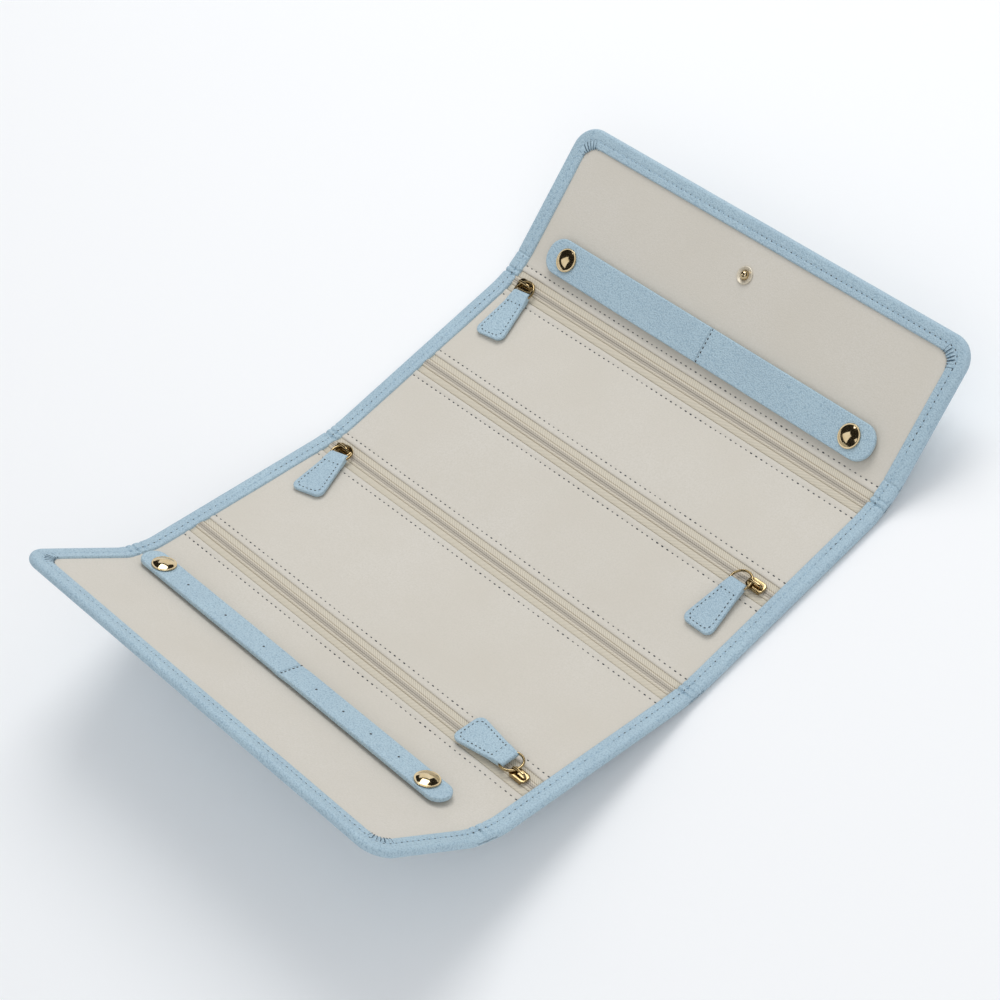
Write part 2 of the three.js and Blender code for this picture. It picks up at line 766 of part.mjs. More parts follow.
function addZip(body, number, zipAt, sliderX, lowerReach, upperReach, pull) {
  addPiece(body, `zip_${number}_lower_tape`, zipHalf(zipAt, -1, lowerReach), zipTape);
  addPiece(body, `zip_${number}_upper_tape`, zipHalf(zipAt, 1, upperReach), zipTape);
  const sliderFrame = frameAt(zipAt, 0, sliderX);
  const slider = movingBody(body, `slider_${number}`, sliderFrame);
  addPiece(slider, `zip_${number}_slider`, sliderBody(), paleGold, sliderFrame);
  const chord = Math.sqrt(ringRadius * ringRadius - pull.ringY * pull.ringY);
  const towardsChain = -Math.sign(sliderX);
  const ringX = crossingX + towardsChain * chord;
  const wireTurn = towardsChain * (Math.PI / 2 + Math.asin(pull.ringY / ringRadius));
  const wireFrame = turnedFrame(sliderFrame, crossingX, 0, wireHeight, wireTurn);
  const pullBody = movingBody(slider, `pull_${number}`, wireFrame);
  const ringFrame = turnedFrame(sliderFrame, ringX, pull.ringY, wireHeight, 0);
  addPiece(pullBody, `zip_${number}_ring`, pullRing(), paleGold, ringFrame);
  const tabEnd = (tabPastRing + tabLength) * Math.cos(pull.turn) - pull.ringY;
  const lift = liningSeenFrom(zipAt, -tabEnd) + pull.rest + tabThickness / 2 - wireHeight;
  const tabFrame = turnedFrame(ringFrame, 0, 0, 0, pull.turn);
  addPiece(pullBody, `zip_${number}_pull_tab`, pullTab(lift), blueLeather, tabFrame);
}

// Zips 1 and 3 are closed at the left, 2 and 4 at the right, and each pull lies a little askew
const sliderHome = openHalfWidth - sliderEndMargin;
addZip(base, 1, zip1At, -sliderHome, bandHalfWidth, baseTo - zip1At, {
  ringY: pull1RingY, turn: pull1Turn, rest: tabRest,
});
addZip(base, 2, zip2At, sliderHome, bandHalfWidth, bandHalfWidth, {
  ringY: pull2RingY, turn: pull2Turn, rest: tabRest,
});
addZip(lid, 3, zip3At, -sliderHome, bandHalfWidth, lidTo - zip3At, {
  ringY: pull3RingY, turn: pull3Turn, rest: tabRest,
});
addZip(lid, 4, zip4At, sliderHome, bandHalfWidth, bandHalfWidth, {
  ringY: pull4RingY, turn: pull4Turn, rest: sideTabRest,
});

// Half a strap, from its sewn middle out to its round end, lying along -y of its own frame
function strapHalf(strapWidth, thickness, endRadius, holes) {
  const low = strapLift;
  const high = strapLift + thickness;
  const half = strapWidth / 2;
  const end = strapLength / 2;
  const shape = new THREE.Shape();
  shape.moveTo(half, -strapMiddleGap);
  shape.lineTo(-half, -strapMiddleGap);
  shape.absarc(-half + endRadius, -end + endRadius, endRadius, Math.PI, 1.5 * Math.PI);
  shape.absarc(half - endRadius, -end + endRadius, endRadius, 1.5 * Math.PI, 2 * Math.PI);
  const strap = plate(shape, low, high);
  const foot = block(strapFootWidth, strapFootLength, layerGap + strapFootRise, high - layerGap);
  foot.translate(0, -strapMiddleGap - strapFootLength / 2, 0);
  const snapHole = pin(capBarrelRadius + layerGap, low - overrun, high + overrun, roundSides);
  snapHole.translate(0, -strapCapSpacing / 2, 0);
  return cut(join([strap, foot]), [snapHole, ...holes]);
}

function snapCap(strapTop) {
  const seat = strapTop + layerGap;
  const boreTop = strapTop;
  const [, ...dome] = domeProfile(capRadius, capHeight, seat);
  return turned([
    [0, boreTop],
    [capBoreRadius, boreTop],
    [capBoreRadius, strapLift - capBarrelBelow],
    [capBarrelRadius, strapLift - capBarrelBelow],
    [capBarrelRadius, seat],
    ...dome,
  ]);
}

function snapStud(strapTop) {
  const ballCentre = strapTop - studClearance - studBallRadius;
  const neckAngle = -Math.acos(studNeckRadius / studBallRadius);
  return turned([
    [0, layerGap],
    [studBaseRadius, layerGap],
    [studBaseRadius, layerGap + studBaseHeight / 2],
    [studNeckRadius, layerGap + studBaseHeight],
    ...arc(ballCentre, studBallRadius, neckAngle, Math.PI / 2, cornerSteps),
  ]);
}

function addStrap(body, name, at, offset, strapWidth, thickness, endRadius, holes) {
  const strapTop = strapLift + thickness;
  for (const [sideName, side] of [['left', -1], ['right', 1]]) {
    const turn = (side * Math.PI) / 2;
    const lying = frameAt(at, 0, offset, turn);
    const half = movingBody(body, `${name}_${sideName}`, frameAt(at, strapTop, offset, turn));
    const snapFrame = frameAt(at, 0, offset + (side * strapCapSpacing) / 2);
    addPiece(
      half, `${name}_${sideName}_half`,
      strapHalf(strapWidth, thickness, endRadius, holes), blueLeather, lying,
    );
    addPiece(half, `${name}_${sideName}_cap`, snapCap(strapTop), paleGold, snapFrame);
    addPiece(body, `${name}_${sideName}_stud`, snapStud(strapTop), paleGold, snapFrame);
  }
}

// Post holes for earrings run along each half of the narrow strap
const earringHoles = Array.from({ length: earringHoleCount }, (_, i) => {
  const hole = pin(earringHoleRadius, strapLift - overrun, strapLift + earringStrapThickness + overrun);
  return hole.translate(0, -(i + 1) * earringHolePitch, 0);
});

addStrap(
  ringSpine, 'ring_strap', ringFold + ringStrapFromFold, 0,
  ringStrapWidth, ringStrapThickness, ringStrapEndRadius, [],
);
addStrap(
  earringSpine, 'earring_strap', (earringFold + tuckFold) / 2, earringStrapOffset,
  earringStrapWidth, earringStrapThickness, earringStrapEndRadius, earringHoles,
);

export default roll;
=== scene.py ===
# %% [markdown]
# # A jewelry roll, dressed over its stiff CAD frame
#
# The object is a soft leather roll for jewelry that lies open: a long panel of pale blue pebbled
# leather, lined with cream suede, with four zipped pockets, two straps with press studs and a flap at
# each end. The CAD frame gives every stiff section its place and every joint its line. Here each soft
# or coarse solid gets a finer piece that stands for it.
#
# Nearly everything lies on one line seen from the side, the line of the lining. So a place on the roll
# is given by three numbers: x across it, a distance along the lining, and a height over the lining.

import json
import math

import bmesh
import bpy
import numpy as np
from mathutils import Matrix, Vector


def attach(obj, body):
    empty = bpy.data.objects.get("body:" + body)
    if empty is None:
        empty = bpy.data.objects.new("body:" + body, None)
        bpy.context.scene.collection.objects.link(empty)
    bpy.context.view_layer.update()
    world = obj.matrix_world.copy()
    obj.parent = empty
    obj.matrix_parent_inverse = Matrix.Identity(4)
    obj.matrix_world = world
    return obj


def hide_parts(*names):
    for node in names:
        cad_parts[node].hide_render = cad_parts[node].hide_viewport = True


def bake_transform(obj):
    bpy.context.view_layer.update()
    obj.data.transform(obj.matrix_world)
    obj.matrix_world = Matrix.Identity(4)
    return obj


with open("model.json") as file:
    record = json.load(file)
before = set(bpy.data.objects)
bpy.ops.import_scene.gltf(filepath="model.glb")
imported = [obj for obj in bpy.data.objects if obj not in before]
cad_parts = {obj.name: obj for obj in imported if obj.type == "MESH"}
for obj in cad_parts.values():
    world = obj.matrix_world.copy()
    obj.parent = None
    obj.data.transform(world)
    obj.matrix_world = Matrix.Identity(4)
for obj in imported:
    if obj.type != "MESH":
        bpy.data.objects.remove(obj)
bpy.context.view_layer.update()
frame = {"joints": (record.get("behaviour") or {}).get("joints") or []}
scene = bpy.context.scene

# %% [markdown]
# ## The line of the lining
#
# The base panel is level. On each side of it the lining turns upwards at a few soft bends, and each
# bend is an arc. Adding up small steps along that line gives a table of places and slopes, and every
# piece is laid on the roll by looking up the table. The bends and the fold lines are the CAD's own.

# %% Sections, bends and layers of the roll
roll_width = 0.250
tuck_length = 0.054
earring_spine_length = 0.0165
lid_length = 0.1105
base_length = 0.1255
ring_spine_and_front = 0.0699
corner_radius = 0.012

middle_fold = -base_length / 2
ring_fold = base_length / 2
earring_fold = middle_fold - lid_length
tuck_fold = earring_fold - earring_spine_length
tuck_end = tuck_fold - tuck_length
front_end = ring_fold + ring_spine_and_front

# Each bend: towards the front (1) or the tuck flap (-1), where it starts and ends that way from the
# middle of the base, and how many degrees it turns
bends = [
    (1, ring_fold - 0.0222, ring_fold + 0.0038, 31.1),
    (-1, -middle_fold - 0.0074, -middle_fold + 0.0146, 15.2),
    (-1, -earring_fold - 0.004, -earring_fold + 0.0025, 16.35),
    (-1, -tuck_fold - 0.005, -tuck_fold, 16.35),
]

underside = -0.00325
turned_edge_top = 0.00115
turned_edge_width = 0.009
half_width = roll_width / 2
open_half_width = half_width - turned_edge_width


# %% A table of the line, and places on it
line_step = 0.0001
line_margin = 0.01
line_along = np.arange(tuck_end - line_margin, front_end + line_margin, line_step)


def line_slopes(along):
    """The lining's slope, positive where it rises towards the front."""
    return sum(
        way * math.radians(degrees) * np.clip((way * along - start) / (end - start), 0, 1)
        for way, start, end, degrees in bends
    )


line_slope = line_slopes(line_along)
line_y = np.cumsum(np.cos(line_slope)) * line_step
line_z = np.cumsum(np.sin(line_slope)) * line_step
line_y -= np.interp(0, line_along, line_y)
line_z -= np.interp(0, line_along, line_z) + underside


def slope_at(along):
    """The slope of the lining at a place, from the table."""
    return np.interp(along, line_along, line_slope)


def place(x, along, height):
    """Points for places on the roll, as rows of x, y, z."""
    x, along, height = np.broadcast_arrays(x, along, height)
    y = np.interp(along, line_along, line_y) - height * np.sin(slope_at(along))
    z = np.interp(along, line_along, line_z) + height * np.cos(slope_at(along))
    return np.stack([x, y, z], axis=-1)


def frame_at(along, x=0.0, turn=0.0):
    """A frame that stands on the lining: its x across the roll, its y along it, its z up."""
    lie = Matrix.Rotation(float(slope_at(along)), 4, "X")
    there = Matrix.Translation(Vector(place(x, along, 0.0).tolist()))
    return there @ lie @ Matrix.Rotation(turn, 4, "Z")


def along_of(point):
    """The distance along the lining of the place that is nearest to a point."""
    off = np.hypot(line_y - point[1], line_z - point[2])
    return float(line_along[np.argmin(off)])


front_hinge = next(joint for joint in frame["joints"] if joint["name"] == "front_flap_fold")
front_fold = along_of(front_hinge["pos_m"])
print("front fold at", round(front_fold, 4), "ring spine", round(front_fold - ring_fold, 4))

# %% [markdown]
# ## Camera, lamps and floor
#
# The camera was solved from the corners of the panels in the photograph, so it is set by its turn,
# tilt, roll and distance from the line where the lid's lining meets the base's. The background is
# white only to rays that come straight from the camera or off metal, and the lamps stay soft and
# level, so the pale leather keeps its colour.


# %% Small helpers for objects, colours and nodes
def add_object(name, data):
    """An object at the origin for a mesh, a lamp or a camera."""
    thing = bpy.data.objects.new(name, data)
    scene.collection.objects.link(thing)
    return thing


def colour(red, green, blue):
    """A colour as it looks on a screen, 0 to 255, as the linear values that Blender uses."""
    def linear(value):
        share = value / 255
        return share / 12.92 if share <= 0.04045 else ((share + 0.055) / 1.055) ** 2.4
    return (linear(red), linear(green), linear(blue), 1)


def fill(node, inputs):
    """Sets a node's inputs: another node's output is linked, and anything else is a plain value."""
    for label, value in inputs.items():
        if isinstance(value, bpy.types.NodeSocket):
            node.id_data.links.new(value, node.inputs[label])
        else:
            node.inputs[label].default_value = value


def add_node(tree, kind, inputs, **settings):
    """Adds a node and gives its outputs. Its settings go first, since they change its inputs."""
    node = tree.nodes.new(kind)
    for label, value in settings.items():
        setattr(node, label, value)
    fill(node, inputs)
    return node.outputs


def work_out(tree, operation, *values, kind="ShaderNodeMath"):
    """The result of one operation on values or on other nodes' outputs."""
    return add_node(tree, kind, dict(enumerate(values)), operation=operation)[0]


def new_material(name):
    """A material with a Principled shader, and its node tree."""
    material = bpy.data.materials.new(name)
    material.use_nodes = True
    return material, material.node_tree


def set_shader(tree, inputs):
    """Sets or links the inputs of a material's Principled shader."""
    fill(tree.nodes["Principled BSDF"], inputs)


# %% Camera at the photograph's angle
azimuth = math.radians(66.655)
elevation = math.radians(49.027)
camera_roll = math.radians(-24.866)
camera_distance = 1.29891
aim_aside = -0.000739
aim_up = 0.024996
focal_in_pixels = 2915.8
picture_size = 1000
sensor_width = 36
lid_line = (0, middle_fold - 0.0036, -underside)

camera_data = bpy.data.cameras.new("photo_camera")
camera_data.sensor_width = sensor_width
camera_data.lens = focal_in_pixels * sensor_width / picture_size
scene.camera = add_object("photo_camera", camera_data)
scene.camera.matrix_world = (
    Matrix.Translation(lid_line)
    @ Matrix.Rotation(azimuth, 4, "Z")
    @ Matrix.Rotation(math.pi / 2 - elevation, 4, "X")
    @ Matrix.Rotation(camera_roll, 4, "Z")
    @ Matrix.Translation((aim_aside, aim_up, camera_distance))
)
eye = scene.camera.matrix_world.translation
print("camera at", [round(v, 3) for v in eye], "lens", round(camera_data.lens, 1))

# %% World: a soft pale room, which is plain white to the camera and in metal
world = bpy.data.worlds.new("soft_room")
scene.world = world
world.use_nodes = True
room_tree = world.node_tree
room = room_tree.nodes["Background"]
fill(room, {"Color": (0.93, 0.96, 1, 1), "Strength": 0.62})
rays = add_node(room_tree, "ShaderNodeLightPath", {})
direct = work_out(room_tree, "MAXIMUM", rays["Is Camera Ray"], rays["Is Glossy Ray"])
direct = work_out(room_tree, "MAXIMUM", direct, rays["Is Transmission Ray"])
white = add_node(room_tree, "ShaderNodeBackground", {"Color": (1, 1, 1, 1), "Strength": 1})
either = add_node(room_tree, "ShaderNodeMixShader", {0: direct, 1: room.outputs[0], 2: white[0]})
fill(room_tree.nodes["World Output"], {"Surface": either[0]})
scene.view_settings.view_transform = "Standard"


# %% Floor
def staged(name, points, faces, finish, base_colour, roughness):
    """An object of the room, which isn't part of the roll, in one plain colour."""
    mesh = bpy.data.meshes.new(name)
    mesh.from_pydata(points, [], faces)
    material, tree = new_material(finish)
    set_shader(tree, {"Base Color": (*base_colour, 1), "Roughness": roughness})
    mesh.materials.append(material)
    thing = add_object(name, mesh)
    print(name, len(faces), "faces")
    return thing


floor_reach = 3
floor_level = -0.0004
floor_corners = ((-1, -1), (1, -1), (1, 1), (-1, 1))
floor_points = [(floor_reach * x, floor_reach * y, floor_level) for x, y in floor_corners]
staged("floor", floor_points, [(0, 1, 2, 3)], "pale_floor", (0.93, 0.93, 0.93), 0.9)


# %% Lamps
def add_lamp(name, spot, size, power):
    """A square area lamp that faces the middle of the roll."""
    data = bpy.data.lights.new(name, "AREA")
    data.size = size
    data.energy = power
    lamp = add_object(name, data)
    lamp.location = spot
    lamp.rotation_mode = "QUATERNION"
    middle = Vector((0, -0.05, 0.02))
    lamp.rotation_quaternion = (Vector(spot) - middle).to_track_quat("Z", "Y")
    print(name, power, "W")


add_lamp("key_lamp", (-0.5, 0.9, 1.5), 1.0, 15)
add_lamp("fill_lamp", (1.2, -0.8, 1.2), 1.4, 6)

# %% A dark dome with three windows, which only metal sees, as the dark studio round the object
dome_radius = 3.0
dome_step = 5
# The bearing of each window's middle, its width, and its lowest and highest tilt, in degrees
dome_windows = [(-137, 44, 20, 60), (127, 40, 5, 30), (20, 60, 45, 70)]


def dome_point(bearing, tilt):
    """A point of the dome in a direction given in degrees."""
    turn, rise = math.radians(bearing), math.radians(tilt)
    level = dome_radius * math.cos(rise)
    return level * math.cos(turn), level * math.sin(turn), dome_radius * math.sin(rise)


dome_points, dome_faces = [], []
for bearing in range(-180, 180, dome_step):
    for tilt in range(5, 90, dome_step):
        if any(abs((bearing - middle + 180) % 360 - 180) <= wide / 2 and low <= tilt < high
               for middle, wide, low, high in dome_windows):
            continue
        first = len(dome_points)
        dome_points += [dome_point(bearing + b * dome_step, tilt + t * dome_step)
                        for b, t in ((0, 0), (0, 1), (1, 1), (1, 0))]
        dome_faces.append(tuple(range(first, first + 4)))
dark_dome = staged("dark_dome", dome_points, dome_faces, "studio_dark", (0.03, 0.026, 0.02), 1)
for ray in ("camera", "diffuse", "shadow", "transmission"):
    setattr(dark_dome, f"visible_{ray}", False)

# %% [markdown]
# ## Finishes
#
# The leather has a fine pebble: small rounded cells with creases between them, which a Voronoi
# texture gives, and a darker blue in the creases is painted shade. The lining is suede, which is
# nearly flat with a soft mottling, and the zip tape is a twill whose ribs run slantwise, with painted
# shade in its grooves and painted shade and highlight on its ribs. A slow mottling that varies a
# colour is used by nearly every finish, so it is a shader node group, and the pebble is another, to
# keep the leather's own nodes few.


# %% Shader group: slow mottling of a colour
def group_tree(name, inputs, outputs):
    """A shader group with named inputs and their defaults. Gives its inputs and its output node."""
    tree = bpy.data.node_groups.new(name, "ShaderNodeTree")
    for label, kind, default in inputs:
        tree.interface.new_socket(label, in_out="INPUT", socket_type=kind).default_value = default
    for label, kind in outputs:
        tree.interface.new_socket(label, in_out="OUTPUT", socket_type=kind)
    return tree, tree.nodes.new("NodeGroupInput").outputs, tree.nodes.new("NodeGroupOutput")


def object_place(tree):
    """The place on the object, for textures."""
    return add_node(tree, "ShaderNodeTexCoord", {})["Object"]


def map_range(tree, value, low, high, to_low=0.0, to_high=1.0, **settings):
    """A value carried from one range to another."""
    ends = {"From Min": low, "From Max": high, "To Min": to_low, "To Max": to_high}
    return add_node(tree, "ShaderNodeMapRange", {"Value": value, **ends}, **settings)["Result"]


FLOAT = "NodeSocketFloat"
COLOR = "NodeSocketColor"
mottling, given, result = group_tree(
    "mottling",
    [("Colour", COLOR, (1, 1, 1, 1)), ("Darker", COLOR, (0, 0, 0, 1)), ("Scale", FLOAT, 40.0)],
    [("Colour", COLOR), ("Mask", FLOAT)],
)
noise = add_node(mottling, "ShaderNodeTexNoise", {
    "Vector": object_place(mottling), "Scale": given["Scale"], "Detail": 4,
})
mask = map_range(mottling, noise["Fac"], 0.35, 0.7)
mixed = add_node(mottling, "ShaderNodeMix", {
    "Factor": mask, "A": given["Colour"], "B": given["Darker"],
}, data_type="RGBA")
fill(result, {"Colour": mixed["Result"], "Mask": mask})

# %% Shader group: the pebble of the leather, cells with a finer noise on them
pebble, given, result = group_tree(
    "pebble",
    [("Cells per metre", FLOAT, 900.0), ("Unevenness", FLOAT, 0.6)],
    [("Height", FLOAT), ("Crease", FLOAT)],
)
spot = object_place(pebble)
warp = add_node(pebble, "ShaderNodeTexNoise", {"Vector": spot, "Scale": 260})["Color"]
warp_reach = (0.0012, 0.0012, 0.0012)
shifted = work_out(pebble, "MULTIPLY_ADD", warp, warp_reach, spot, kind="ShaderNodeVectorMath")
cells = add_node(pebble, "ShaderNodeTexVoronoi", {
    "Vector": shifted, "Scale": given["Cells per metre"], "Smoothness": 0.4,
}, feature="SMOOTH_F1")
fine = add_node(pebble, "ShaderNodeTexNoise", {
    "Vector": spot, "Scale": work_out(pebble, "MULTIPLY", given["Cells per metre"], 0.35), "Detail": 3,
})
rounded = map_range(pebble, cells["Distance"], 0.15, 0.75, 1, 0, interpolation_type="SMOOTHSTEP")
# Height is for the bump, and Crease is the mask where the leather paints shade into the creases.
fill(result, {
    "Height": work_out(pebble, "MULTIPLY_ADD", fine["Fac"], given["Unevenness"], rounded),
    "Crease": map_range(pebble, cells["Distance"], 0.45, 0.85),
})
print("shader groups:", [g.name for g in bpy.data.node_groups])


# %% Leather, and suede for the lining
def mottled(tree, scale, main, darker):
    """A colour with the mottling, and its mask."""
    return add_node(tree, "ShaderNodeGroup", {"Scale": scale, "Colour": main, "Darker": darker},
                    node_tree=mottling)


def bump(tree, height, distance):
    """A normal from a height."""
    return add_node(tree, "ShaderNodeBump", {"Height": height, "Distance": distance})["Normal"]


blue_leather, tree = new_material("blue_leather")
grain = add_node(tree, "ShaderNodeGroup", {"Cells per metre": 1500, "Unevenness": 0.5}, node_tree=pebble)
tone = mottled(tree, 28, colour(178, 202, 214), colour(172, 195, 208))
# A darker blue mixed into the creases between the pebbles is painted shade.
creased = add_node(tree, "ShaderNodeMix", {
    "Factor": work_out(tree, "MULTIPLY", grain["Crease"], 0.9),
    "A": tone["Colour"],
    "B": colour(142, 168, 184),
}, data_type="RGBA")
set_shader(tree, {
    "Base Color": creased["Result"],
    "Roughness": map_range(tree, tone["Mask"], 0, 1, 0.46, 0.62),
    "Normal": bump(tree, grain["Height"], 0.00016),
})

suede, tree = new_material("cream_suede")
tone = mottled(tree, 22, colour(213, 207, 197), colour(208, 201, 189))
speckled = mottled(tree, 1300, tone["Colour"], colour(205, 199, 187))
fibre = add_node(tree, "ShaderNodeTexNoise", {"Vector": object_place(tree), "Scale": 1500, "Detail": 5})
set_shader(tree, {
    "Base Color": speckled["Colour"], "Roughness": 0.95, "Specular IOR Level": 0.2,
    "Sheen Weight": 0.25, "Sheen Roughness": 0.5, "Normal": bump(tree, fibre["Fac"], 0.00008),
})

# %% Twill finish of the zip tape, whose bands follow the distance from the zip's middle, with painted shade in its grooves and painted shade and highlight on its ribs
band_reach = 0.006
twill_pitch = 0.0013
rib_slant = 1.3
tape, tree = new_material("zip_tape_twill")
uv = add_node(tree, "ShaderNodeUVMap", {}, uv_map="across_zip")["UV"]
on_zip = add_node(tree, "ShaderNodeSeparateXYZ", {"Vector": uv})
aside = work_out(tree, "ABSOLUTE", on_zip["Y"])
bands = tree.nodes.new("ShaderNodeValToRGB")
fill(bands, {"Fac": work_out(tree, "DIVIDE", aside, band_reach)})
# The bands are the tape's own colours, and the darker stops at 0, 0.19, 0.408 and 1.0 are painted shade
# in its grooves and where it runs under the lining.
band_colours_and_groove_shade = [
    (0.0, (132, 122, 108)), (0.03, (190, 182, 168)), (0.15, (188, 179, 164)), (0.19, (152, 140, 120)),
    (0.225, (216, 207, 190)), (0.35, (213, 203, 184)), (0.408, (160, 146, 122)), (0.45, (213, 204, 186)),
    (0.9, (210, 201, 182)), (1.0, (176, 166, 148)),
]
for spot, _ in band_colours_and_groove_shade[2:]:
    bands.color_ramp.elements.new(spot)
for element, (spot, tone) in zip(bands.color_ramp.elements, band_colours_and_groove_shade):
    element.position = spot
    element.color = colour(*tone)
# The ribs scale the colour from 0.8 to 1.1, a painted shade and highlight on each rib besides its bump.
slanted = work_out(tree, "MULTIPLY_ADD", aside, rib_slant, on_zip["X"])
ribs = work_out(tree, "SINE", work_out(tree, "MULTIPLY", slanted, 2 * math.pi / twill_pitch))
shaded = add_node(tree, "ShaderNodeVectorMath", {
    0: bands.outputs["Color"], "Scale": map_range(tree, ribs, -1, 1, 0.8, 1.1),
}, operation="SCALE")
set_shader(tree, {"Base Color": shaded["Vector"], "Roughness": 0.8, "Normal": bump(tree, ribs, 0.00005)})


# %% Nylon, thread, painted shade for needle holes and creases, and metal
def plain_finish(name, scale, main, darker, roughness):
    """One colour with mottling, which changes a little from stitch to stitch."""
    material, tree = new_material(name)
    tone = mottled(tree, scale, colour(*main), colour(*darker))
    set_shader(tree, {"Base Color": tone["Colour"], "Roughness": roughness})
    return material


def gold_finish(name, main, darker, low, high, metal=1.0):
    """Plated metal with faint handling marks in its gloss."""
    material, tree = new_material(name)
    tone = mottled(tree, 240, colour(*main), colour(*darker))
    gloss = map_range(tree, tone["Mask"], 0, 1, low, high)
    set_shader(tree, {"Base Color": tone["Colour"], "Roughness": gloss, "Metallic": metal})
    return material


coil_nylon = plain_finish("coil_nylon", 90, (194, 185, 174), (182, 172, 160), 0.55)
# Painted shade: this dark grey is for the beads that stand for needle holes and post holes.
hole_shade = plain_finish("hole_shade", 300, (74, 78, 82), (52, 55, 58), 0.95)
blue_thread = plain_finish("blue_thread", 700, (168, 194, 211), (146, 172, 190), 0.6)
# Painted shade: a dark blue for beads in the creases between the corner pleats.
painted_crease_shade = plain_finish("painted_crease_shade", 700, (68, 91, 108), (54, 76, 93), 0.6)
pale_gold = gold_finish("pale_gold", (222, 203, 166), (204, 181, 138), 0.07, 0.14)
dark_gold = gold_finish("dark_gold", (188, 166, 124), (150, 128, 88), 0.1, 0.18)
satin_gold = gold_finish("satin_gold", (240, 231, 212), (228, 217, 196), 0.4, 0.55, 0.4)
print("finishes:", [m.name for m in bpy.data.materials])

# %% [markdown]
# ## Leather, lining and folds
#
# The cover is one sheet with its edges turned over the lining. A grid is made over the roll, dense
# near the edges, and lifted to an upper and a lower height that depend on the distance from the
# nearest edge. At a free end the square corner of the grid is bent into a quarter round, so its lines
# turn into arcs that follow the edge. The sheet is cut across the middle of each section, not at the
# folds, so each piece bends smoothly over one fold and the cuts meet where nothing moves.


# %% Build a mesh object from points and faces
def mesh_object(name, points, faces, material):
    """A merged, smooth mesh whose object sits at the origin."""
    mesh = bpy.data.meshes.new(name)
    mesh.from_pydata([tuple(p) for p in points], [], [tuple(f) for f in faces])
    merged = bmesh.new()
    merged.from_mesh(mesh)
    bmesh.ops.remove_doubles(merged, verts=merged.verts, dist=2e-6)
    bmesh.ops.dissolve_degenerate(merged, edges=merged.edges, dist=1e-7)
    merged.to_mesh(mesh)
    merged.free()
    mesh.shade_smooth()
    mesh.materials.append(material)
    print(name, len(mesh.polygons), "faces")
    return add_object(name, mesh)


def closed_grid(top, bottom):
    """Points and faces of a closed sheet between two grids of the same shape."""
    index = np.arange(top[..., 0].size).reshape(top.shape[:2])
    quads = np.stack([index[:-1, :-1], index[:-1, 1:], index[1:, 1:], index[1:, :-1]], axis=-1)
    quads = quads.reshape(-1, 4)
    rim = np.concatenate([index[0], index[1:, -1], index[-1, -2::-1], index[-2:0:-1, 0]])
    onward = np.roll(rim, -1)
    walls = np.stack([rim, rim + index.size, onward + index.size, onward], axis=1)
    points = np.concatenate([top.reshape(-1, 3), bottom.reshape(-1, 3)])
    return points, np.concatenate([quads, quads[:, ::-1] + index.size, walls])


def flat_ends(piece, *places):
    """Shades a piece's end faces flat, so that its surface shades on across the seams."""
    mesh = piece.data
    centres, normals = np.zeros(3 * len(mesh.polygons)), np.zeros(3 * len(mesh.polygons))
    mesh.polygons.foreach_get("center", centres)
    mesh.polygons.foreach_get("normal", normals)
    smooth = np.ones(len(mesh.polygons), dtype=bool)
    for along in places:
        onward = np.array([0, math.cos(slope_at(along)), math.sin(slope_at(along))])
        off = np.abs((centres.reshape(-1, 3) - place(0, along, 0)) @ onward)
        smooth &= ~((off < 2e-5) & (np.abs(normals.reshape(-1, 3) @ onward) > 0.9))
    mesh.polygons.foreach_set("use_smooth", smooth)
    edge_of = {frozenset(edge.vertices): edge for edge in mesh.edges}
    for index in np.flatnonzero(~smooth):
        for key in mesh.polygons[index].edge_keys:
            edge_of[frozenset(key)].use_edge_sharp = True
    mesh.update()


# %% Grid lines, and the rounding of the free corners
cover_spacing = 0.004
bend_spacing = 0.0008
corner_steps = 26
fine_insets = np.unique(np.round(np.concatenate([
    np.linspace(0, corner_radius, corner_steps),
    [0.00015, 0.0004, 0.0008, 0.0012, 0.0016, 0.0022, 0.0046, 0.0053, 0.006],
    [0.0078, 0.0081, 0.0084, 0.0087, 0.0089, 0.009, 0.0092, 0.0098],
]), 5))


def across_lines(half, fine, spacing):
    """Places across the roll: fine near both sides and evenly spaced between."""
    inner = half - fine[-1]
    middle = np.linspace(-inner, inner, int(2 * inner / spacing) + 1)
    return np.concatenate([fine - half, middle[1:-1], (half - fine)[::-1]])


def along_lines(low, high, spacing):
    """Places along the roll: closer where the lining bends."""
    lines = [low]
    while lines[-1] < high - 1e-9:
        here = lines[-1]
        turning = abs(np.diff(line_slopes(np.array([here, here + spacing])))[0])
        lines.append(min(high, here + (bend_spacing if turning > 1e-4 else spacing)))
    return np.array(lines)


def round_free_corners(x, along, half, free_end, radius):
    """Bends a grid's two free corners into quarter rounds. Also gives the distance in from the edge
    and, in the corners, the angle round them."""
    inset = half - np.abs(x)
    angle = np.full(x.shape, np.nan)
    if free_end is None:
        return x, along, inset, angle
    side = np.sign(free_end)
    end_gap = np.abs(free_end - along)
    across, onward = radius - inset, radius - end_gap
    corner = (across > 0) & (onward > 0)
    reach = np.maximum(across, onward)
    share = np.where(corner, np.minimum(across, onward) / np.where(corner, reach, 1), 0)
    turn = np.where(across >= onward, share * math.pi / 4, math.pi / 2 - share * math.pi / 4)
    round_x = np.sign(x) * (half - radius + reach * np.cos(turn))
    round_along = free_end - side * (radius - reach * np.sin(turn))
    angle = np.where(corner, turn, angle)
    inset = np.where(corner, radius - reach, np.minimum(inset, end_gap))
    return np.where(corner, round_x, x), np.where(corner, round_along, along), inset, angle


# %% Heights of the cover, from its edge inwards
edge_middle = (turned_edge_top + underside) / 2
top_roundness = 0.0017
under_roundness = 0.0022
stitch_inset = 0.0053
stitch_dip = 0.00022
groove_width = 0.0006
inner_roundness = 0.0009
inner_foot = -0.0002
under_lining = -0.0007
pleat_dip = 0.0004
pleat_band = (0.0055, turned_edge_width)
pleat_fades = (0.001, 0.0006)

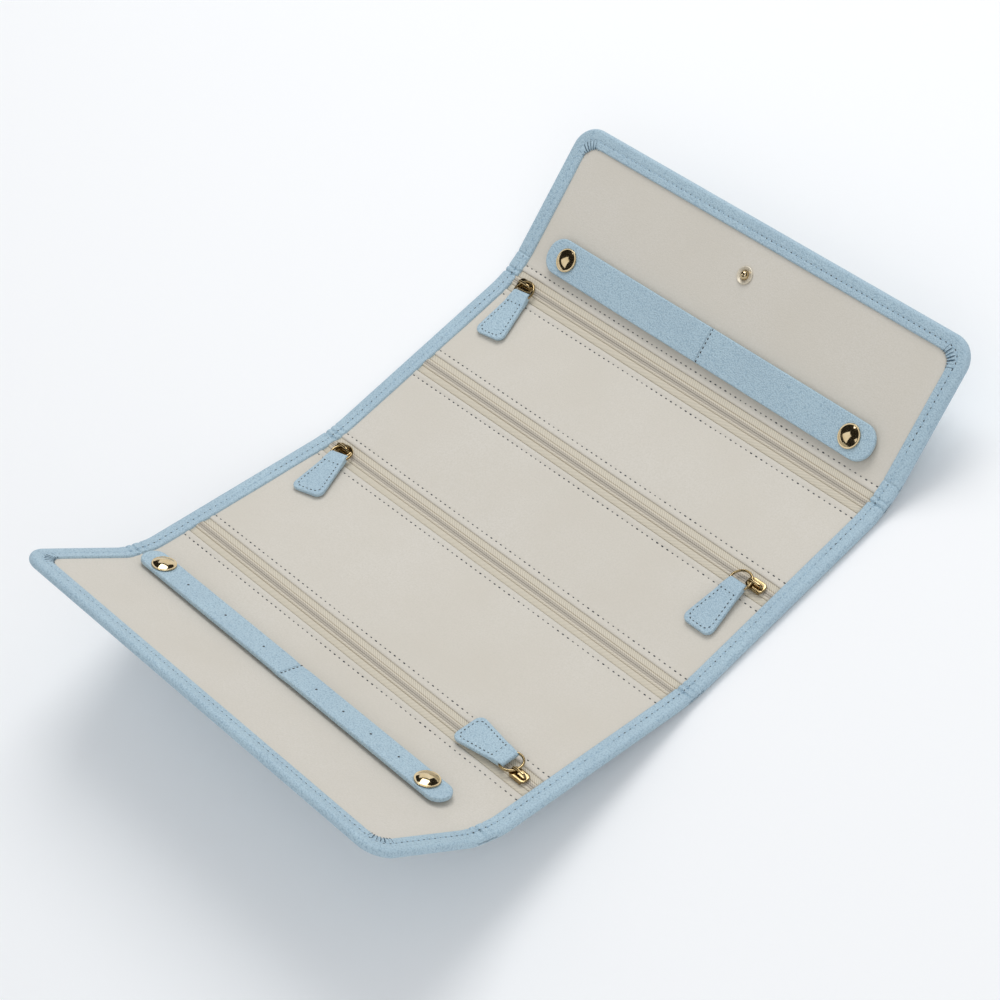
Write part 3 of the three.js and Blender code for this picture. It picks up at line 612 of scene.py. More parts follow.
# Creases of the leather across the roll, as in the photograph: their places and depths
crease_width = 0.0006
crease_places = [
    (tuck_fold + 0.0048, 0.0005), (tuck_fold + 0.00825, 0.0009), (earring_fold - 0.0043, 0.0005),
    (middle_fold - 0.0058, 0.0009), (middle_fold - 0.0030, 0.0006), (middle_fold, 0.0004),
    (ring_fold - 0.0112, 0.0009), (ring_fold - 0.0085, 0.0006), (ring_fold, 0.0004),
]
crease_steps = crease_width * np.linspace(-2, 2, 13)
crease_lines = np.concatenate([spot + crease_steps for spot, _ in crease_places])


def quarter_round(share):
    """Rises from 0 to 1 as a quarter of a circle does."""
    return np.sqrt(1 - (1 - np.clip(share, 0, 1)) ** 2)


def groove(place_on, middle, width):
    """A smooth groove, 1 deep, at a place."""
    return np.exp(-(((place_on - middle) / width) ** 2))


def cover_top(inset, angle, along):
    """Upper face of the turned edge, which drops under the lining at its inner side. It has the
    groove of the stitches, the creases, and a hollow in each corner that the pleats fill."""
    height = edge_middle + (turned_edge_top - edge_middle) * quarter_round(inset / top_roundness)
    height -= stitch_dip * groove(inset, stitch_inset, groove_width)
    inner_gap = turned_edge_width - inset
    inner_side = inner_foot + (height - inner_foot) * quarter_round(inner_gap / inner_roundness)
    height = np.where(inner_gap < inner_roundness, inner_side, height)
    height = np.where(inner_gap < -1e-5, under_lining, height)
    creased = sum(depth * groove(along, spot, crease_width) for spot, depth in crease_places)
    height = height - creased * (inner_gap > 0)
    window = np.clip((inset - pleat_band[0]) / pleat_fades[0], 0, 1)
    window = window * np.clip((pleat_band[1] - inset) / pleat_fades[1], 0, 1)
    in_corner = np.clip(np.nan_to_num(np.sin(2 * angle)) * 3, 0, 1)
    return height - pleat_dip * window * in_corner


def cover_bottom(inset):
    """Lower face of the cover, rounded at the edge."""
    return edge_middle + (underside - edge_middle) * quarter_round(inset / under_roundness)


def cover_piece(name, low, high, free_end):
    """The leather between two places along the roll, closed round its edges."""
    creases = crease_lines[(crease_lines > low) & (crease_lines < high)]
    lines = np.unique(np.round(np.concatenate([along_lines(low, high, cover_spacing), creases]), 6))
    if free_end is not None:
        fine = free_end - np.sign(free_end) * fine_insets
        inner = lines[np.abs(lines - free_end) > fine_insets[-1] + 1e-4]
        lines = np.sort(np.concatenate([fine, inner]))
    x, along = np.meshgrid(across_lines(half_width, fine_insets, cover_spacing), lines)
    x, along, inset, angle = round_free_corners(x, along, half_width, free_end, corner_radius)
    top = place(x, along, cover_top(inset, angle, along))
    piece = mesh_object(name, *closed_grid(top, place(x, along, cover_bottom(inset))), blue_leather)
    flat_ends(piece, *[end for end in (low, high) if end != free_end])
    return piece


# %% How each piece is placed: it rides on one body, or, over a fold between two, keeps its place baked into its points
fold_reach = 0.004
# Each fold: its line, how far it reaches on either side, and the bodies before and after it
folds = {
    "tuck": (tuck_fold, fold_reach, fold_reach, "tuck_flap", "earring_spine"),
    "earring": (earring_fold, fold_reach, fold_reach, "earring_spine", "lid_panel"),
    "middle": (middle_fold, 0.0025, 0.006, "lid_panel", "base_panel"),
    "ring": (ring_fold, fold_reach, fold_reach, "base_panel", "ring_spine"),
    "front": (front_fold, fold_reach, fold_reach, "ring_spine", "front_flap"),
}


def settle(piece, slot, carrier, *replaced):
    """Sets a piece on the body that carries it, or, over a fold, only bakes its place into its points,
    and hides the CAD solids it stands for. The slot is not used."""
    if carrier in folds:
        fold, before, after, first, second = folds[carrier]
        start, end = place(0, fold - before, 0).tolist(), place(0, fold + after, 0).tolist()
        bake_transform(piece)
    else:
        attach(piece, carrier)
    if replaced:
        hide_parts(*replaced)


# %% Lay the cover in five pieces, one over each fold
earring_seam = (tuck_fold + earring_fold) / 2
lid_seam = -0.108
base_seam = 0.02
ring_seam = (ring_fold + front_fold) / 2
# Each piece: its two ends, its free end, and the CAD solids it stands for
cover_spans = {
    "tuck": (tuck_end, earring_seam, tuck_end,
             "tuck_cover", "tuck_padding", "tuck_fold", "earring_spine_cover"),
    "earring": (earring_seam, lid_seam, None, "earring_fold"),
    "middle": (lid_seam, base_seam, None, "lid_cover", "lid_padding", "middle_fold"),
    "ring": (base_seam, ring_seam, None, "base_cover", "base_padding", "ring_fold"),
    "front": (ring_seam, front_end, front_end,
              "ring_spine_cover", "front_cover", "front_padding", "front_fold"),
}
covers = {}
for fold_name, (low, high, free_end, *solids) in cover_spans.items():
    cover = covers[fold_name] = cover_piece(f"leather_over_{fold_name}_fold", low, high, free_end)
    settle(cover, "blue_leather", fold_name, *solids)

# %% [markdown]
# ## Lining
#
# The suede is sewn in seven strips, and the zips part them. Towards a zip the edge of a strip is
# folded under, which makes it a little thicker there, with a row of stitches that pulls it down.
# Everywhere else it is soft, so slow waves a fifth of a millimetre high are added to it.

# %% Places of the zips, and sizes of the lining
zip_places = {
    1: ring_fold - 0.0129, 2: ring_fold - 0.073, 3: middle_fold - 0.0085, 4: earring_fold + 0.0244,
}
zip_bodies = {1: "base_panel", 2: "base_panel", 3: "lid_panel", 4: "lid_panel"}
band_half = 0.0058
zip_stitch_gap = 0.0031
lining_overlap = 0.0012
lining_half = open_half_width + lining_overlap
lining_depth = 0.0005
lining_spacing = 0.0025
lining_spacing_across = 0.003
lining_side_insets = np.array([0.0, 0.0004, 0.001, 0.002])
tucked_inset = 0.0005
thinnest = 0.0001
wave_height = 0.0002
below = {number: along - band_half for number, along in zip_places.items()}
above = {number: along + band_half for number, along in zip_places.items()}
end_margin = turned_edge_width - lining_overlap
lining_ends = tuck_end + end_margin, front_end - end_margin
zip_fade = 0.01
zip_swell_height = 0.00025
zip_swell_gap = 0.0012
zip_edge_round = 0.0006
zip_side_lines = np.array([
    0.0, 0.0001, 0.0003, 0.0006, 0.001, 0.0016, 0.0024, 0.0028, 0.0031, 0.0034, 0.0038, 0.0046,
])


def slow_waves(x, along):
    """Soft unevenness of the suede, from a few crossing waves of set lengths."""
    turns = [(31, 57, 0.3), (-47, 38, 1.7), (73, 91, 4.1), (12, -66, 2.6), (105, -20, 5.2)]
    total = sum(np.sin(kx * x + ky * along * 1.6 + shift) for kx, ky, shift in turns)
    return wave_height * total / len(turns)


def beside_zip(height, gap):
    """Height of the suede near a zip: a rounded fold, a stitched dip, then level."""
    swell = zip_swell_height * groove(gap, zip_swell_gap, zip_swell_gap)
    dip = stitch_dip * groove(gap, zip_stitch_gap, groove_width)
    edge = lining_depth * (1 - quarter_round(gap / zip_edge_round))
    return height * np.clip(gap / zip_fade, 0, 1) - edge + swell - dip


def lining_piece(name, low, high):
    """A strip of the lining between two places along the roll, folded under beside a zip."""
    free_end = next((end for end in (low, high) if end in lining_ends), None)
    lines = along_lines(low, high, lining_spacing)
    if low in above.values():
        lines = np.concatenate([low + zip_side_lines, lines[lines > low + zip_side_lines[-1]]])
    if high in below.values():
        lines = np.concatenate([lines[lines < high - zip_side_lines[-1]], (high - zip_side_lines)[::-1]])
    columns = across_lines(lining_half, lining_side_insets, lining_spacing_across)
    x, along = np.meshgrid(columns, lines)
    radius = corner_radius - turned_edge_width + lining_overlap
    x, along, inset, _ = round_free_corners(x, along, lining_half, free_end, radius)
    height = slow_waves(x, along)
    if low in above.values():
        height = beside_zip(height, along - low)
    if high in below.values():
        height = beside_zip(height, high - along)
    height = np.where(inset < tucked_inset, np.minimum(height, -thinnest), height)
    bottom = place(x, along, np.minimum(height - thinnest, -lining_depth))
    piece = mesh_object(name, *closed_grid(place(x, along, height), bottom), suede)
    flat_ends(piece, *[end for end in (low, high) if end != free_end])
    return piece


# %% Lay the lining's strips
# Each strip: its two ends, the body that carries it or the fold it lies over, and the CAD solids it
# stands for
strips = {
    "tuck_lining_strip": (lining_ends[0], earring_seam, "tuck", "tuck_lining", "earring_spine_lining"),
    "lid_edge_strip": (earring_seam, below[4], "earring", "lid_lower_lining"),
    "lid_pocket_strip": (above[4], below[3], "lid_panel", "lid_upper_lining", "lid_pocket_back"),
    "middle_strip": (above[3], below[2], "middle", "base_lower_lining"),
    "base_pocket_strip": (above[2], below[1], "base_panel", "base_upper_lining", "base_pocket_back"),
    "base_edge_strip": (above[1], ring_seam, "ring"),
    "front_lining_strip": (ring_seam, lining_ends[1], "front", "front_lining", "ring_spine_lining"),
}
for name, (low, high, carrier, *solids) in strips.items():
    strip = lining_piece(name, low, high)
    settle(strip, "cream_lining", carrier, *solids)

# %% [markdown]
# ## Round and bevelled shapes
#
# The hardware and the small leather parts come from four kinds of shape. A lathe turns a profile
# about an upright axis, a tube follows a line, a bevelled plate is an outline with rounded edges, and
# a soft plate is a grid with a round end, fine enough to be bent. Each is made flat at the origin, in
# its own frame, and then carried to its place on the roll by the points themselves, so every object
# stays untransformed.


# %% Skins over rings of points
def ring_faces(rings, count, closed=False):
    """Quads between rings of points, which are numbered ring by ring."""
    index = np.arange(rings * count).reshape(rings, count)
    if closed:
        index = np.concatenate([index, index[:1]])
    low, high = index[:-1], index[1:]
    quads = np.stack([low, np.roll(low, -1, axis=1), np.roll(high, -1, axis=1), high], axis=-1)
    return quads.reshape(-1, 4)


def capped_faces(rings, count):
    """The same, with a face over the first ring and over the last."""
    last = range((rings - 1) * count, rings * count)
    return [tuple(range(count))[::-1], *ring_faces(rings, count), tuple(last)]


def lathe(profile, steps):
    """Points and faces of a closed turned body. The profile runs from the axis back to the axis."""
    angles = np.linspace(0, 2 * math.pi, steps, endpoint=False)
    ring = np.stack([np.cos(angles), np.sin(angles)], axis=1)
    points = np.concatenate([
        np.column_stack([ring * radius, np.full(steps, height)]) for radius, height in profile
    ])
    return points, ring_faces(len(profile), steps)


def tube(path, radius, up, sides, closed=False, flatness=1.0):
    """Points and faces of a tube along a line of points, oval where flatness isn't 1."""
    if closed:
        ahead = np.roll(path, -1, axis=0) - np.roll(path, 1, axis=0)
    else:
        ahead = np.gradient(path, axis=0)
    ahead = ahead / np.linalg.norm(ahead, axis=1, keepdims=True)
    aside = np.cross(ahead, up)
    aside /= np.linalg.norm(aside, axis=1, keepdims=True)
    rise = np.cross(aside, ahead)
    points = np.stack([
        path + radius * (math.cos(angle) * aside + flatness * math.sin(angle) * rise)
        for angle in 2 * math.pi * np.arange(sides) / sides
    ], axis=1).reshape(-1, 3)
    return points, (ring_faces(len(path), sides, True) if closed else capped_faces(len(path), sides))


def inset_outline(outline, distance):
    """An outline, anticlockwise, moved inwards."""
    ahead = np.roll(outline, -1, axis=0) - outline
    ahead /= np.linalg.norm(ahead, axis=1, keepdims=True)
    inward = np.column_stack([-ahead[:, 1], ahead[:, 0]])
    mean = inward + np.roll(inward, 1, axis=0)
    mean /= np.maximum(np.sum(mean * mean, axis=1, keepdims=True) / 2, 0.5)
    return outline + mean * distance


def bevelled_plate(outline, low, high, bevel, steps=4):
    """Points and faces of a plate whose upper and lower edges are rounded."""
    angles = np.linspace(0, math.pi / 2, steps + 1)
    rings = [(2.2 * bevel, low)]
    rings += [(bevel * (1 - math.sin(a)), low + bevel * (1 - math.cos(a))) for a in angles]
    rings += [(bevel * (1 - math.cos(a)), high - bevel * (1 - math.sin(a))) for a in angles]
    rings += [(2.2 * bevel, high)]
    points = np.concatenate([
        np.column_stack([inset_outline(outline, distance), np.full(len(outline), height)])
        for distance, height in rings
    ])
    return points, capped_faces(len(rings), len(outline))


# %% Soft plates: grids with a round end
plate_step = 0.001


def soft_plate(start, end, half_at, corner, bevel, nose=0.0):
    """Places on a flat piece that leads along +x: its end has round corners, its edges are rounded by
    the bevel, and its start by the nose. Gives how far along and across each place is, how much the
    edge lowers it and how much of the thickness the nose leaves, both from 0 to 1."""
    fine = bevel * np.array([0, 0.06, 0.15, 0.3, 0.5, 0.75, 1.0, 1.5])
    swing = corner * (1 - np.cos(np.linspace(0, math.pi / 2, 14)))
    bow = start + nose * np.array([0, 0.03, 0.12, 0.3, 0.6, 1.0])
    middle = np.arange(start + plate_step / 2 + nose, end, plate_step)
    reach = np.unique(np.round(np.concatenate([bow, middle, end - swing, end - fine]), 6))
    half = half_at(reach) - corner
    half = half + np.sqrt(np.maximum(corner ** 2 - np.maximum(corner - (end - reach), 0) ** 2, 0))
    share = np.linspace(1, -1, 13)[1:-1]
    closer = fine * np.minimum(1, 0.8 * half[:, None] / fine[-1])
    inner = half[:, None] - closer[:, -1:]
    far_side = closer[:, ::-1] - half[:, None]
    across = np.concatenate([half[:, None] - closer, share * inner, far_side], axis=1)
    along = np.repeat(reach[:, None], across.shape[1], axis=1)
    past = np.abs(across) - (half_at(along) - corner)
    onward = corner - (end - along)
    round_inset = corner - np.hypot(np.maximum(past, 0), np.maximum(onward, 0))
    gap = np.minimum(half[:, None] - np.abs(across), end - along)
    gap = np.maximum(np.where((past > 0) & (onward > 0), round_inset, gap), 0)
    edge = 1 - quarter_round(gap / bevel)
    front = quarter_round((along - start) / nose) if nose else np.ones_like(along)
    return along, across, edge, front


# %% Outlines, profiles and placing
def rounded_outline(corners, radii, steps):
    """An anticlockwise outline whose corners are rounded, each by its own radius."""
    corners = [Vector(c) for c in corners]
    points = []
    for i, corner in enumerate(corners):
        before = (corners[i - 1] - corner).normalized()
        after = (corners[(i + 1) % len(corners)] - corner).normalized()
        half_angle = before.angle(after) / 2
        reach = radii[i] / math.tan(half_angle)
        centre = corner + (before + after).normalized() * radii[i] / math.sin(half_angle)
        start, end = corner + before * reach - centre, corner + after * reach - centre
        sweep = start.angle_signed(end)
        for step in range(steps + 1):
            spoke = start.copy()
            spoke.rotate(Matrix.Rotation(-sweep * step / steps, 2))
            points.append(tuple(centre + spoke))
    return np.array(points)


def arc(centre_r, centre_z, radius, start, end, steps=4):
    """Points of an arc in a profile, between two angles in degrees."""
    return [(centre_r + radius * math.cos(a), centre_z + radius * math.sin(a))
            for a in np.radians(np.linspace(start, end, steps + 1))]


def dome(radius, height, bottom):
    """The profile of a low dome, from its rim to its top."""
    sphere = (radius * radius + height * height) / (2 * height)
    edge = math.degrees(math.asin((sphere - height) / sphere))
    return arc(0, bottom + height - sphere, sphere, edge, 90, 8)


def together(*shells):
    """Several shells as one set of points and faces."""
    points, faces, first = [], [], 0
    for shell_points, shell_faces in shells:
        points.append(shell_points)
        faces += [tuple(i + first for i in face) for face in shell_faces]
        first += len(shell_points)
    return np.concatenate(points), faces


def carried(points, spot):
    """Points moved by a frame."""
    return np.asarray(points) @ np.array(spot.to_3x3()).T + np.array(spot.translation)


def set_on(spot, shape, name, material, slot, carrier, *replaced):
    """Makes a shape into a piece at its place, and settles it."""
    points, faces = shape
    settle(mesh_object(name, carried(points, spot), faces, material), slot, carrier, *replaced)


# %% [markdown]
# ## Stitches
#
# A stitch is a short thread that sinks at each end into a needle hole. The holes are dark beads of
# painted shade, which is what the photograph shows, in rows round the edge, beside the zips and on
# the tabs. A row is too regular to place by hand, so one geometry node tree does it: it takes a line
# with an upward direction at each point, spaces points evenly along it and sets a small flattened
# bead on each. The same tree makes threads, needle holes, the zip's sewn coil, the post holes and
# the pleats of the leather at the corners with the painted shade in their creases, with other sizes
# and materials.


# %% A node tree that sets beads along lines
def bead_tree():
    """Builds the tree: a line, a pitch, where the row starts, the bead's sizes and a material."""
    tree = bpy.data.node_groups.new("beads_along_lines", "GeometryNodeTree")
    face = tree.interface
    face.new_socket("Line", in_out="INPUT", socket_type="NodeSocketGeometry")
    for label in ("Pitch", "Start", "Length", "Width", "Height", "Unevenness"):
        face.new_socket(label, in_out="INPUT", socket_type="NodeSocketFloat")
    face.new_socket("Finish", in_out="INPUT", socket_type="NodeSocketMaterial")
    face.new_socket("Beads", in_out="OUTPUT", socket_type="NodeSocketGeometry")
    given = tree.nodes.new("NodeGroupInput").outputs

    def add(kind, inputs, **settings):
        return add_node(tree, kind, inputs, **settings)

    curve = add("GeometryNodeMeshToCurve", {"Mesh": given["Line"]})
    trimmed = add("GeometryNodeTrimCurve", {
        "Curve": curve["Curve"], "Start": given["Start"], "End": 100,
    }, mode="LENGTH")
    spaced = add("GeometryNodeResampleCurve", {
        "Curve": trimmed["Curve"], "Length": given["Pitch"],
    }, mode="LENGTH")
    upward = add("GeometryNodeInputNamedAttribute", {"Name": "upward"}, data_type="FLOAT_VECTOR")
    stood = add("FunctionNodeAlignRotationToVector", {"Vector": upward["Attribute"]}, axis="Z")
    tangent = add("GeometryNodeInputTangent", {})
    turned = add("FunctionNodeAlignRotationToVector", {
        "Rotation": stood["Rotation"], "Vector": tangent["Tangent"],
    }, axis="X", pivot_axis="Z")

    sizes = add("ShaderNodeCombineXYZ", {
        "X": given["Length"], "Y": given["Width"], "Z": given["Height"],
    })
    chance = add("FunctionNodeRandomValue", {
        "Min": work_out(tree, "SUBTRACT", 1, given["Unevenness"]),
        "Max": work_out(tree, "ADD", 1, given["Unevenness"]), "Seed": 11,
    }, data_type="FLOAT")
    varied = add("ShaderNodeVectorMath", {
        0: sizes["Vector"], "Scale": chance["Value"],
    }, operation="SCALE")
    bead = add("GeometryNodeMeshUVSphere", {"Segments": 8, "Rings": 5, "Radius": 0.5})
    placed = add("GeometryNodeInstanceOnPoints", {
        "Points": spaced["Curve"], "Instance": bead["Mesh"], "Rotation": turned["Rotation"],
        "Scale": varied["Vector"],
    })
    real = add("GeometryNodeRealizeInstances", {"Geometry": placed["Instances"]})
    coated = add("GeometryNodeSetMaterial", {"Geometry": real["Geometry"], "Material": given["Finish"]})
    fill(tree.nodes.new("NodeGroupOutput"), {"Beads": coated["Geometry"]})
    return tree


beads = bead_tree()
print("bead tree:", len(beads.nodes), "nodes")


# %% Beads on named lines
def bead_row(name, lines, finish, slot, carrier, pitch, size, unevenness=0.1, start=0.0):
    """Sets beads on lines, each a pair of points and upward directions, as one plain piece. A bead's
    size is its length, width and height."""
    points, ups = (np.concatenate(parts) for parts in zip(*lines))
    edges, first = [], 0
    for line_points, _ in lines:
        edges += [(i, i + 1) for i in range(first, first + len(line_points) - 1)]
        first += len(line_points)
    mesh = bpy.data.meshes.new(name + "_line")
    mesh.from_pydata([tuple(p) for p in points], edges, [])
    upward = mesh.attributes.new("upward", "FLOAT_VECTOR", "POINT")
    upward.data.foreach_set("vector", ups.astype(np.float32).ravel())
    guide = add_object(name + "_line", mesh)
    modifier = guide.modifiers.new("beads", "NODES")
    modifier.node_group = beads
    values = dict(zip(("Length", "Width", "Height"), size))
    values |= {"Pitch": pitch, "Unevenness": unevenness, "Start": start, "Finish": finish}
    for item in beads.interface.items_tree:
        if item.name in values:
            modifier[item.identifier] = values[item.name]
    made = bpy.data.meshes.new_from_object(guide.evaluated_get(bpy.context.evaluated_depsgraph_get()))
    bpy.data.objects.remove(guide)
    made.name = name
    made.shade_smooth()
    settle(add_object(name, made), slot, carrier)
    print(name, len(made.polygons), "faces")


def on_roll(xs, alongs, height):
    """A line on the roll for a row of beads: its points, and the way up from the lining at each."""
    points = place(xs, alongs, height)
    return points, place(xs, alongs, height + 1) - points


# %% Stitches round the edge of the cover. Each bead's size is its length, width and height
edge_pitch = 0.0031
edge_hole_size = (0.0011, 0.00058, 0.00024)
edge_thread_size = (0.0020, 0.0005, 0.00036)


def border_line(low, high, free_end):
    """The stitch row of one cover piece: two sides, and round the corners of a free end."""
    half = half_width - stitch_inset
    height = turned_edge_top - stitch_dip
    steps = np.arange(low, high, 0.0005)
    if free_end is None:
        return [on_roll(side * half, steps, height) for side in (-1, 1)]
    radius = corner_radius - stitch_inset
    direction = np.sign(free_end)
    end = free_end - direction * stitch_inset
    straight = steps[np.abs(free_end - steps) > corner_radius]
    inward = straight if direction > 0 else straight[::-1]
    turns = np.linspace(0, math.pi / 2, 24)
    corner_x = half - radius + radius * np.cos(turns)
    corner_along = end - direction * radius * (1 - np.sin(turns))
    cross = np.linspace(half - radius, radius - half, 200)[1:-1]
    side_x = np.full(len(inward), half)
    xs = np.concatenate([side_x, corner_x, cross, -corner_x[::-1], -side_x])
    alongs = np.concatenate([inward, corner_along, np.full(len(cross), end), corner_along[::-1],
                             inward[::-1]])
    return [on_roll(xs, alongs, height)]


# The needle holes are dark beads of painted shade, and the threads are the thread's own colour.
for fold_name, (low, high, free_end, *_) in cover_spans.items():
    lines = border_line(low, high, free_end)
    bead_row(f"edge_needle_holes_{fold_name}", lines, hole_shade, "blue_leather", fold_name,
             edge_pitch, edge_hole_size, unevenness=0.18)
    bead_row(f"edge_threads_{fold_name}", lines, blue_thread, "blue_leather", fold_name,
             edge_pitch, edge_thread_size, unevenness=0.05, start=edge_pitch / 2)

# %% Pleats of the leather at the four corners, side by side along an arc, with beads of painted shade in the creases between
pleat_arc = 0.0092
pleat_centre = 0.016
pleat_height = 0.00045
crease_shade_height = 0.00076
pleat_pitch = 0.0014
pleat_size = (0.0015, 0.0052, 0.0013)
crease_shade_size = (0.00046, 0.0048, 0.00085)
pleat_turns = np.radians(np.linspace(8, 82, 40))
pleat_xs = half_width - pleat_centre + pleat_arc * np.cos(pleat_turns)
pleat_insets = pleat_centre - pleat_arc * np.sin(pleat_turns)
for body, end in (("tuck_flap", tuck_end), ("front_flap", front_end)):
    pleats, creases = (
        [on_roll(side * pleat_xs, end - np.sign(end) * pleat_insets, height) for side in (-1, 1)]
        for height in (pleat_height, crease_shade_height)
    )
    bead_row(f"{body}_corner_pleats", pleats, blue_leather, "blue_leather", body,
             pleat_pitch, pleat_size, unevenness=0.12)
    # The beads between the pleats are painted shade in the creases, not darker leather.
    bead_row(f"{body}_corner_crease_shade", creases, painted_crease_shade, "blue_leather", body,
             pleat_pitch, crease_shade_size, unevenness=0.2, start=pleat_pitch / 2)

# %% [markdown]
# ## Zips
#
# Each zip lies with its coil below, so what shows is two woven tapes whose edges meet over it. The
# tape dips beside the lining, rises over the coil and has a groove where the two halves meet, and
# two sewn lines hold the coil from above. One profile across the zip gives the tape, which is drawn
# out along x, and the sewn lines are rows of beads.

# %% The tapes, with two sewn lines on each
# The distance from the zip's middle, and the height there
zip_profile = np.array([
    (0.0, 0.00028), (0.00012, 0.0005), (0.00035, 0.00062), (0.00095, 0.00057), (0.00112, 0.00034),
    (0.0013, 0.00045), (0.00195, 0.00034), (0.00225, 0.00002), (0.00245, -0.00014),
    (0.0026, -0.00004), (0.0034, -0.00010), (0.005, -0.00020), (0.0058, -0.00042),
])
tape_under = -0.0006
coil_pitch = 0.0012
coil_thread_size = (0.00115, 0.0003, 0.00026)
coil_line = 0.00112
coil_thread_height = 0.00036
profile = np.concatenate([zip_profile[:0:-1] * [-1, 1], zip_profile])
for number, body in zip_bodies.items():
    middle = zip_places[number]
    x, along = np.meshgrid(np.linspace(-lining_half, lining_half, 60), middle + profile[:, 0])
    top = place(x, along, profile[:, 1:])
    tapes = mesh_object(f"zip_{number}_tapes", *closed_grid(top, place(x, along, tape_under)), tape)
    across_zip = tapes.data.uv_layers.new(name="across_zip")
    for loop in tapes.data.loops:
        spot = tapes.data.vertices[loop.vertex_index].co
        across_zip.data[loop.index].uv = (spot.x, along_of(spot) - middle)
    settle(tapes, "zip_tape", body, f"zip_{number}_lower_tape", f"zip_{number}_upper_tape")
    xs = np.linspace(-open_half_width, open_half_width, 400)
    lines = [on_roll(xs, middle + side * coil_line, coil_thread_height) for side in (-1, 1)]
    bead_row(f"zip_{number}_coil_threads", lines, coil_nylon, "zip_tape", body,
             coil_pitch, coil_thread_size, unevenness=0.06)

# %% Needle holes beside the zips, of which the row above zip 3 lies on the middle fold
hole_level = -0.00016
lining_hole_pitch = 0.0032
lining_hole_size = (0.0012, 0.0006, 0.00024)
row_x = np.linspace(-open_half_width + 0.001, open_half_width - 0.001, 300)
# Each needle hole beside a zip is a dark bead of painted shade.
for number, body in zip_bodies.items():
    for side, side_name in ((-1, "lower"), (1, "upper")):
        line = on_roll(row_x, zip_places[number] + side * (band_half + zip_stitch_gap), hole_level)
        bead_row(f"zip_{number}_needle_holes_{side_name}", [line], hole_shade, "cream_lining",
                 "middle" if (number, side) == (3, 1) else body,
                 lining_hole_pitch, lining_hole_size, unevenness=0.2)

# %% [markdown]
# ## Sliders, rings and tabs
#
# A slider is a plate with a wire-like crown over it. The pull's ring runs under the crown, and the
# tab is a strip of leather folded through the ring and sewn to itself. All the sizes are the CAD's,
# so each pull rests just over the lining and turns about the ring's wire, and only the surfaces are
# rounder. The tab is a soft plate, thicker where it wraps the wire and bent down to its end.

# %% Sizes of the sliders and pulls
slider_home = open_half_width - 0.009
slider_half_length = 0.005
slider_half_width = 0.0029
slider_nose_half_width = 0.0019
slider_shoulder = 0.002
slider_corner_radii = [0.0022, 0.0014, 0.0012, 0.0012, 0.0014, 0.0022]
slider_bevel = 0.00045
plate_low, plate_high = 0.0013, 0.0023
flange_half_length = 0.0034
flange_inside, flange_outside = 0.00215, 0.00288
flange_foot, flange_top = 0.0004, plate_low + 0.0002
flange_corner = 0.0002
flange_bevel = 0.00012
wire_height = 0.0031
ring_wire_radius = 0.00058
crown_wire_radius = 0.0004
crown_reach = 0.0038
crown_foot = plate_high - 0.0003
crown_top = 0.0043
crown_flatness = 1.7
ring_radius = 0.0052
crossing_x = -0.00205
tab_start = 0.0006
tab_length = 0.0285
tab_end = tab_start + tab_length
tab_half_thickness = 0.001
tab_half_at_ring = 0.00155
tab_half_narrow = 0.0045
tab_half_wide = 0.0089
tab_corner = 0.0042
tab_bevel = 0.0006
tab_bend_start = 0.006
tab_swell_start, tab_swell_length = 0.0055, 0.004
tab_seam_inset = 0.0019
tab_seam_start = 0.0078
tab_hole_pitch = 0.0022
tab_hole_size = (0.0011, 0.00055, 0.0002)
# Each pull: the side its slider is at, how far along the roll its ring lies from the zip, how far the
# tab turns and how high its end rests
pulls = {
    1: (-1, -0.0029, math.radians(8), 0.0006),
    2: (1, -0.0026, 0.0, 0.0006),
    3: (-1, -0.0029, math.radians(16), 0.0006),
    4: (1, 0.0019, math.radians(-90), 0.0016),
}


# %% Shapes of a slider and a ring
def slider_shape():
    """A shouldered plate with two flanges and a crown over it."""
    half, wide, nose = slider_half_length, slider_half_width, slider_nose_half_width
    shoulder = slider_shoulder - half
    corners = [(half, wide), (shoulder, wide), (-half, nose),
               (-half, -nose), (shoulder, -wide), (half, -wide)]
    outline = rounded_outline(corners, slider_corner_radii, steps=6)
    top = bevelled_plate(outline, plate_low, plate_high, slider_bevel)
    flanges = []
    for low_y, high_y in ((-flange_outside, -flange_inside), (flange_inside, flange_outside)):
        far = flange_half_length
        bar = rounded_outline([(far, high_y), (-far, high_y), (-far, low_y), (far, low_y)],
                              [flange_corner] * 4, steps=2)
        flanges.append(bevelled_plate(bar, flange_foot, flange_top, flange_bevel, steps=2))
    sweep = np.linspace(0, math.pi, 25)
    path = np.column_stack([
        crown_reach * np.sign(np.cos(sweep)) * np.abs(np.cos(sweep)) ** 0.45,
        np.zeros_like(sweep),
        crown_foot + (crown_top - crown_foot) * np.sin(sweep) ** 0.5,
    ])
    crown = tube(path, crown_wire_radius, (0, 1, 0), 12, flatness=crown_flatness)
    return together(top, *flanges, crown)


def ring_shape():
    """The round wire of a pull."""
    turns = np.linspace(0, 2 * math.pi, 56, endpoint=False)
    path = np.column_stack([ring_radius * np.cos(turns), ring_radius * np.sin(turns), np.zeros(56)])
    return tube(path, ring_wire_radius, (0, 0, 1), 14, closed=True)


# %% Shape of a tab, and its stitches
def tab_half_width(reach):
    """Half the width of a tab, narrow at the ring and wide at its end."""
    return tab_half_narrow + (tab_half_wide - tab_half_narrow) * (reach - tab_start) / tab_length


def tab_bend(reach, lift):
    """How far the tab's middle has risen or dropped, and how thick half of it is, at a place."""
    share = np.clip((reach - tab_bend_start) / (tab_end - tab_bend_start), 0, 1)
    swell = np.clip((reach - tab_swell_start) / tab_swell_length, 0, 1)
    swell = swell * swell * (3 - 2 * swell)
    return lift * share, tab_half_at_ring + (tab_half_thickness - tab_half_at_ring) * swell


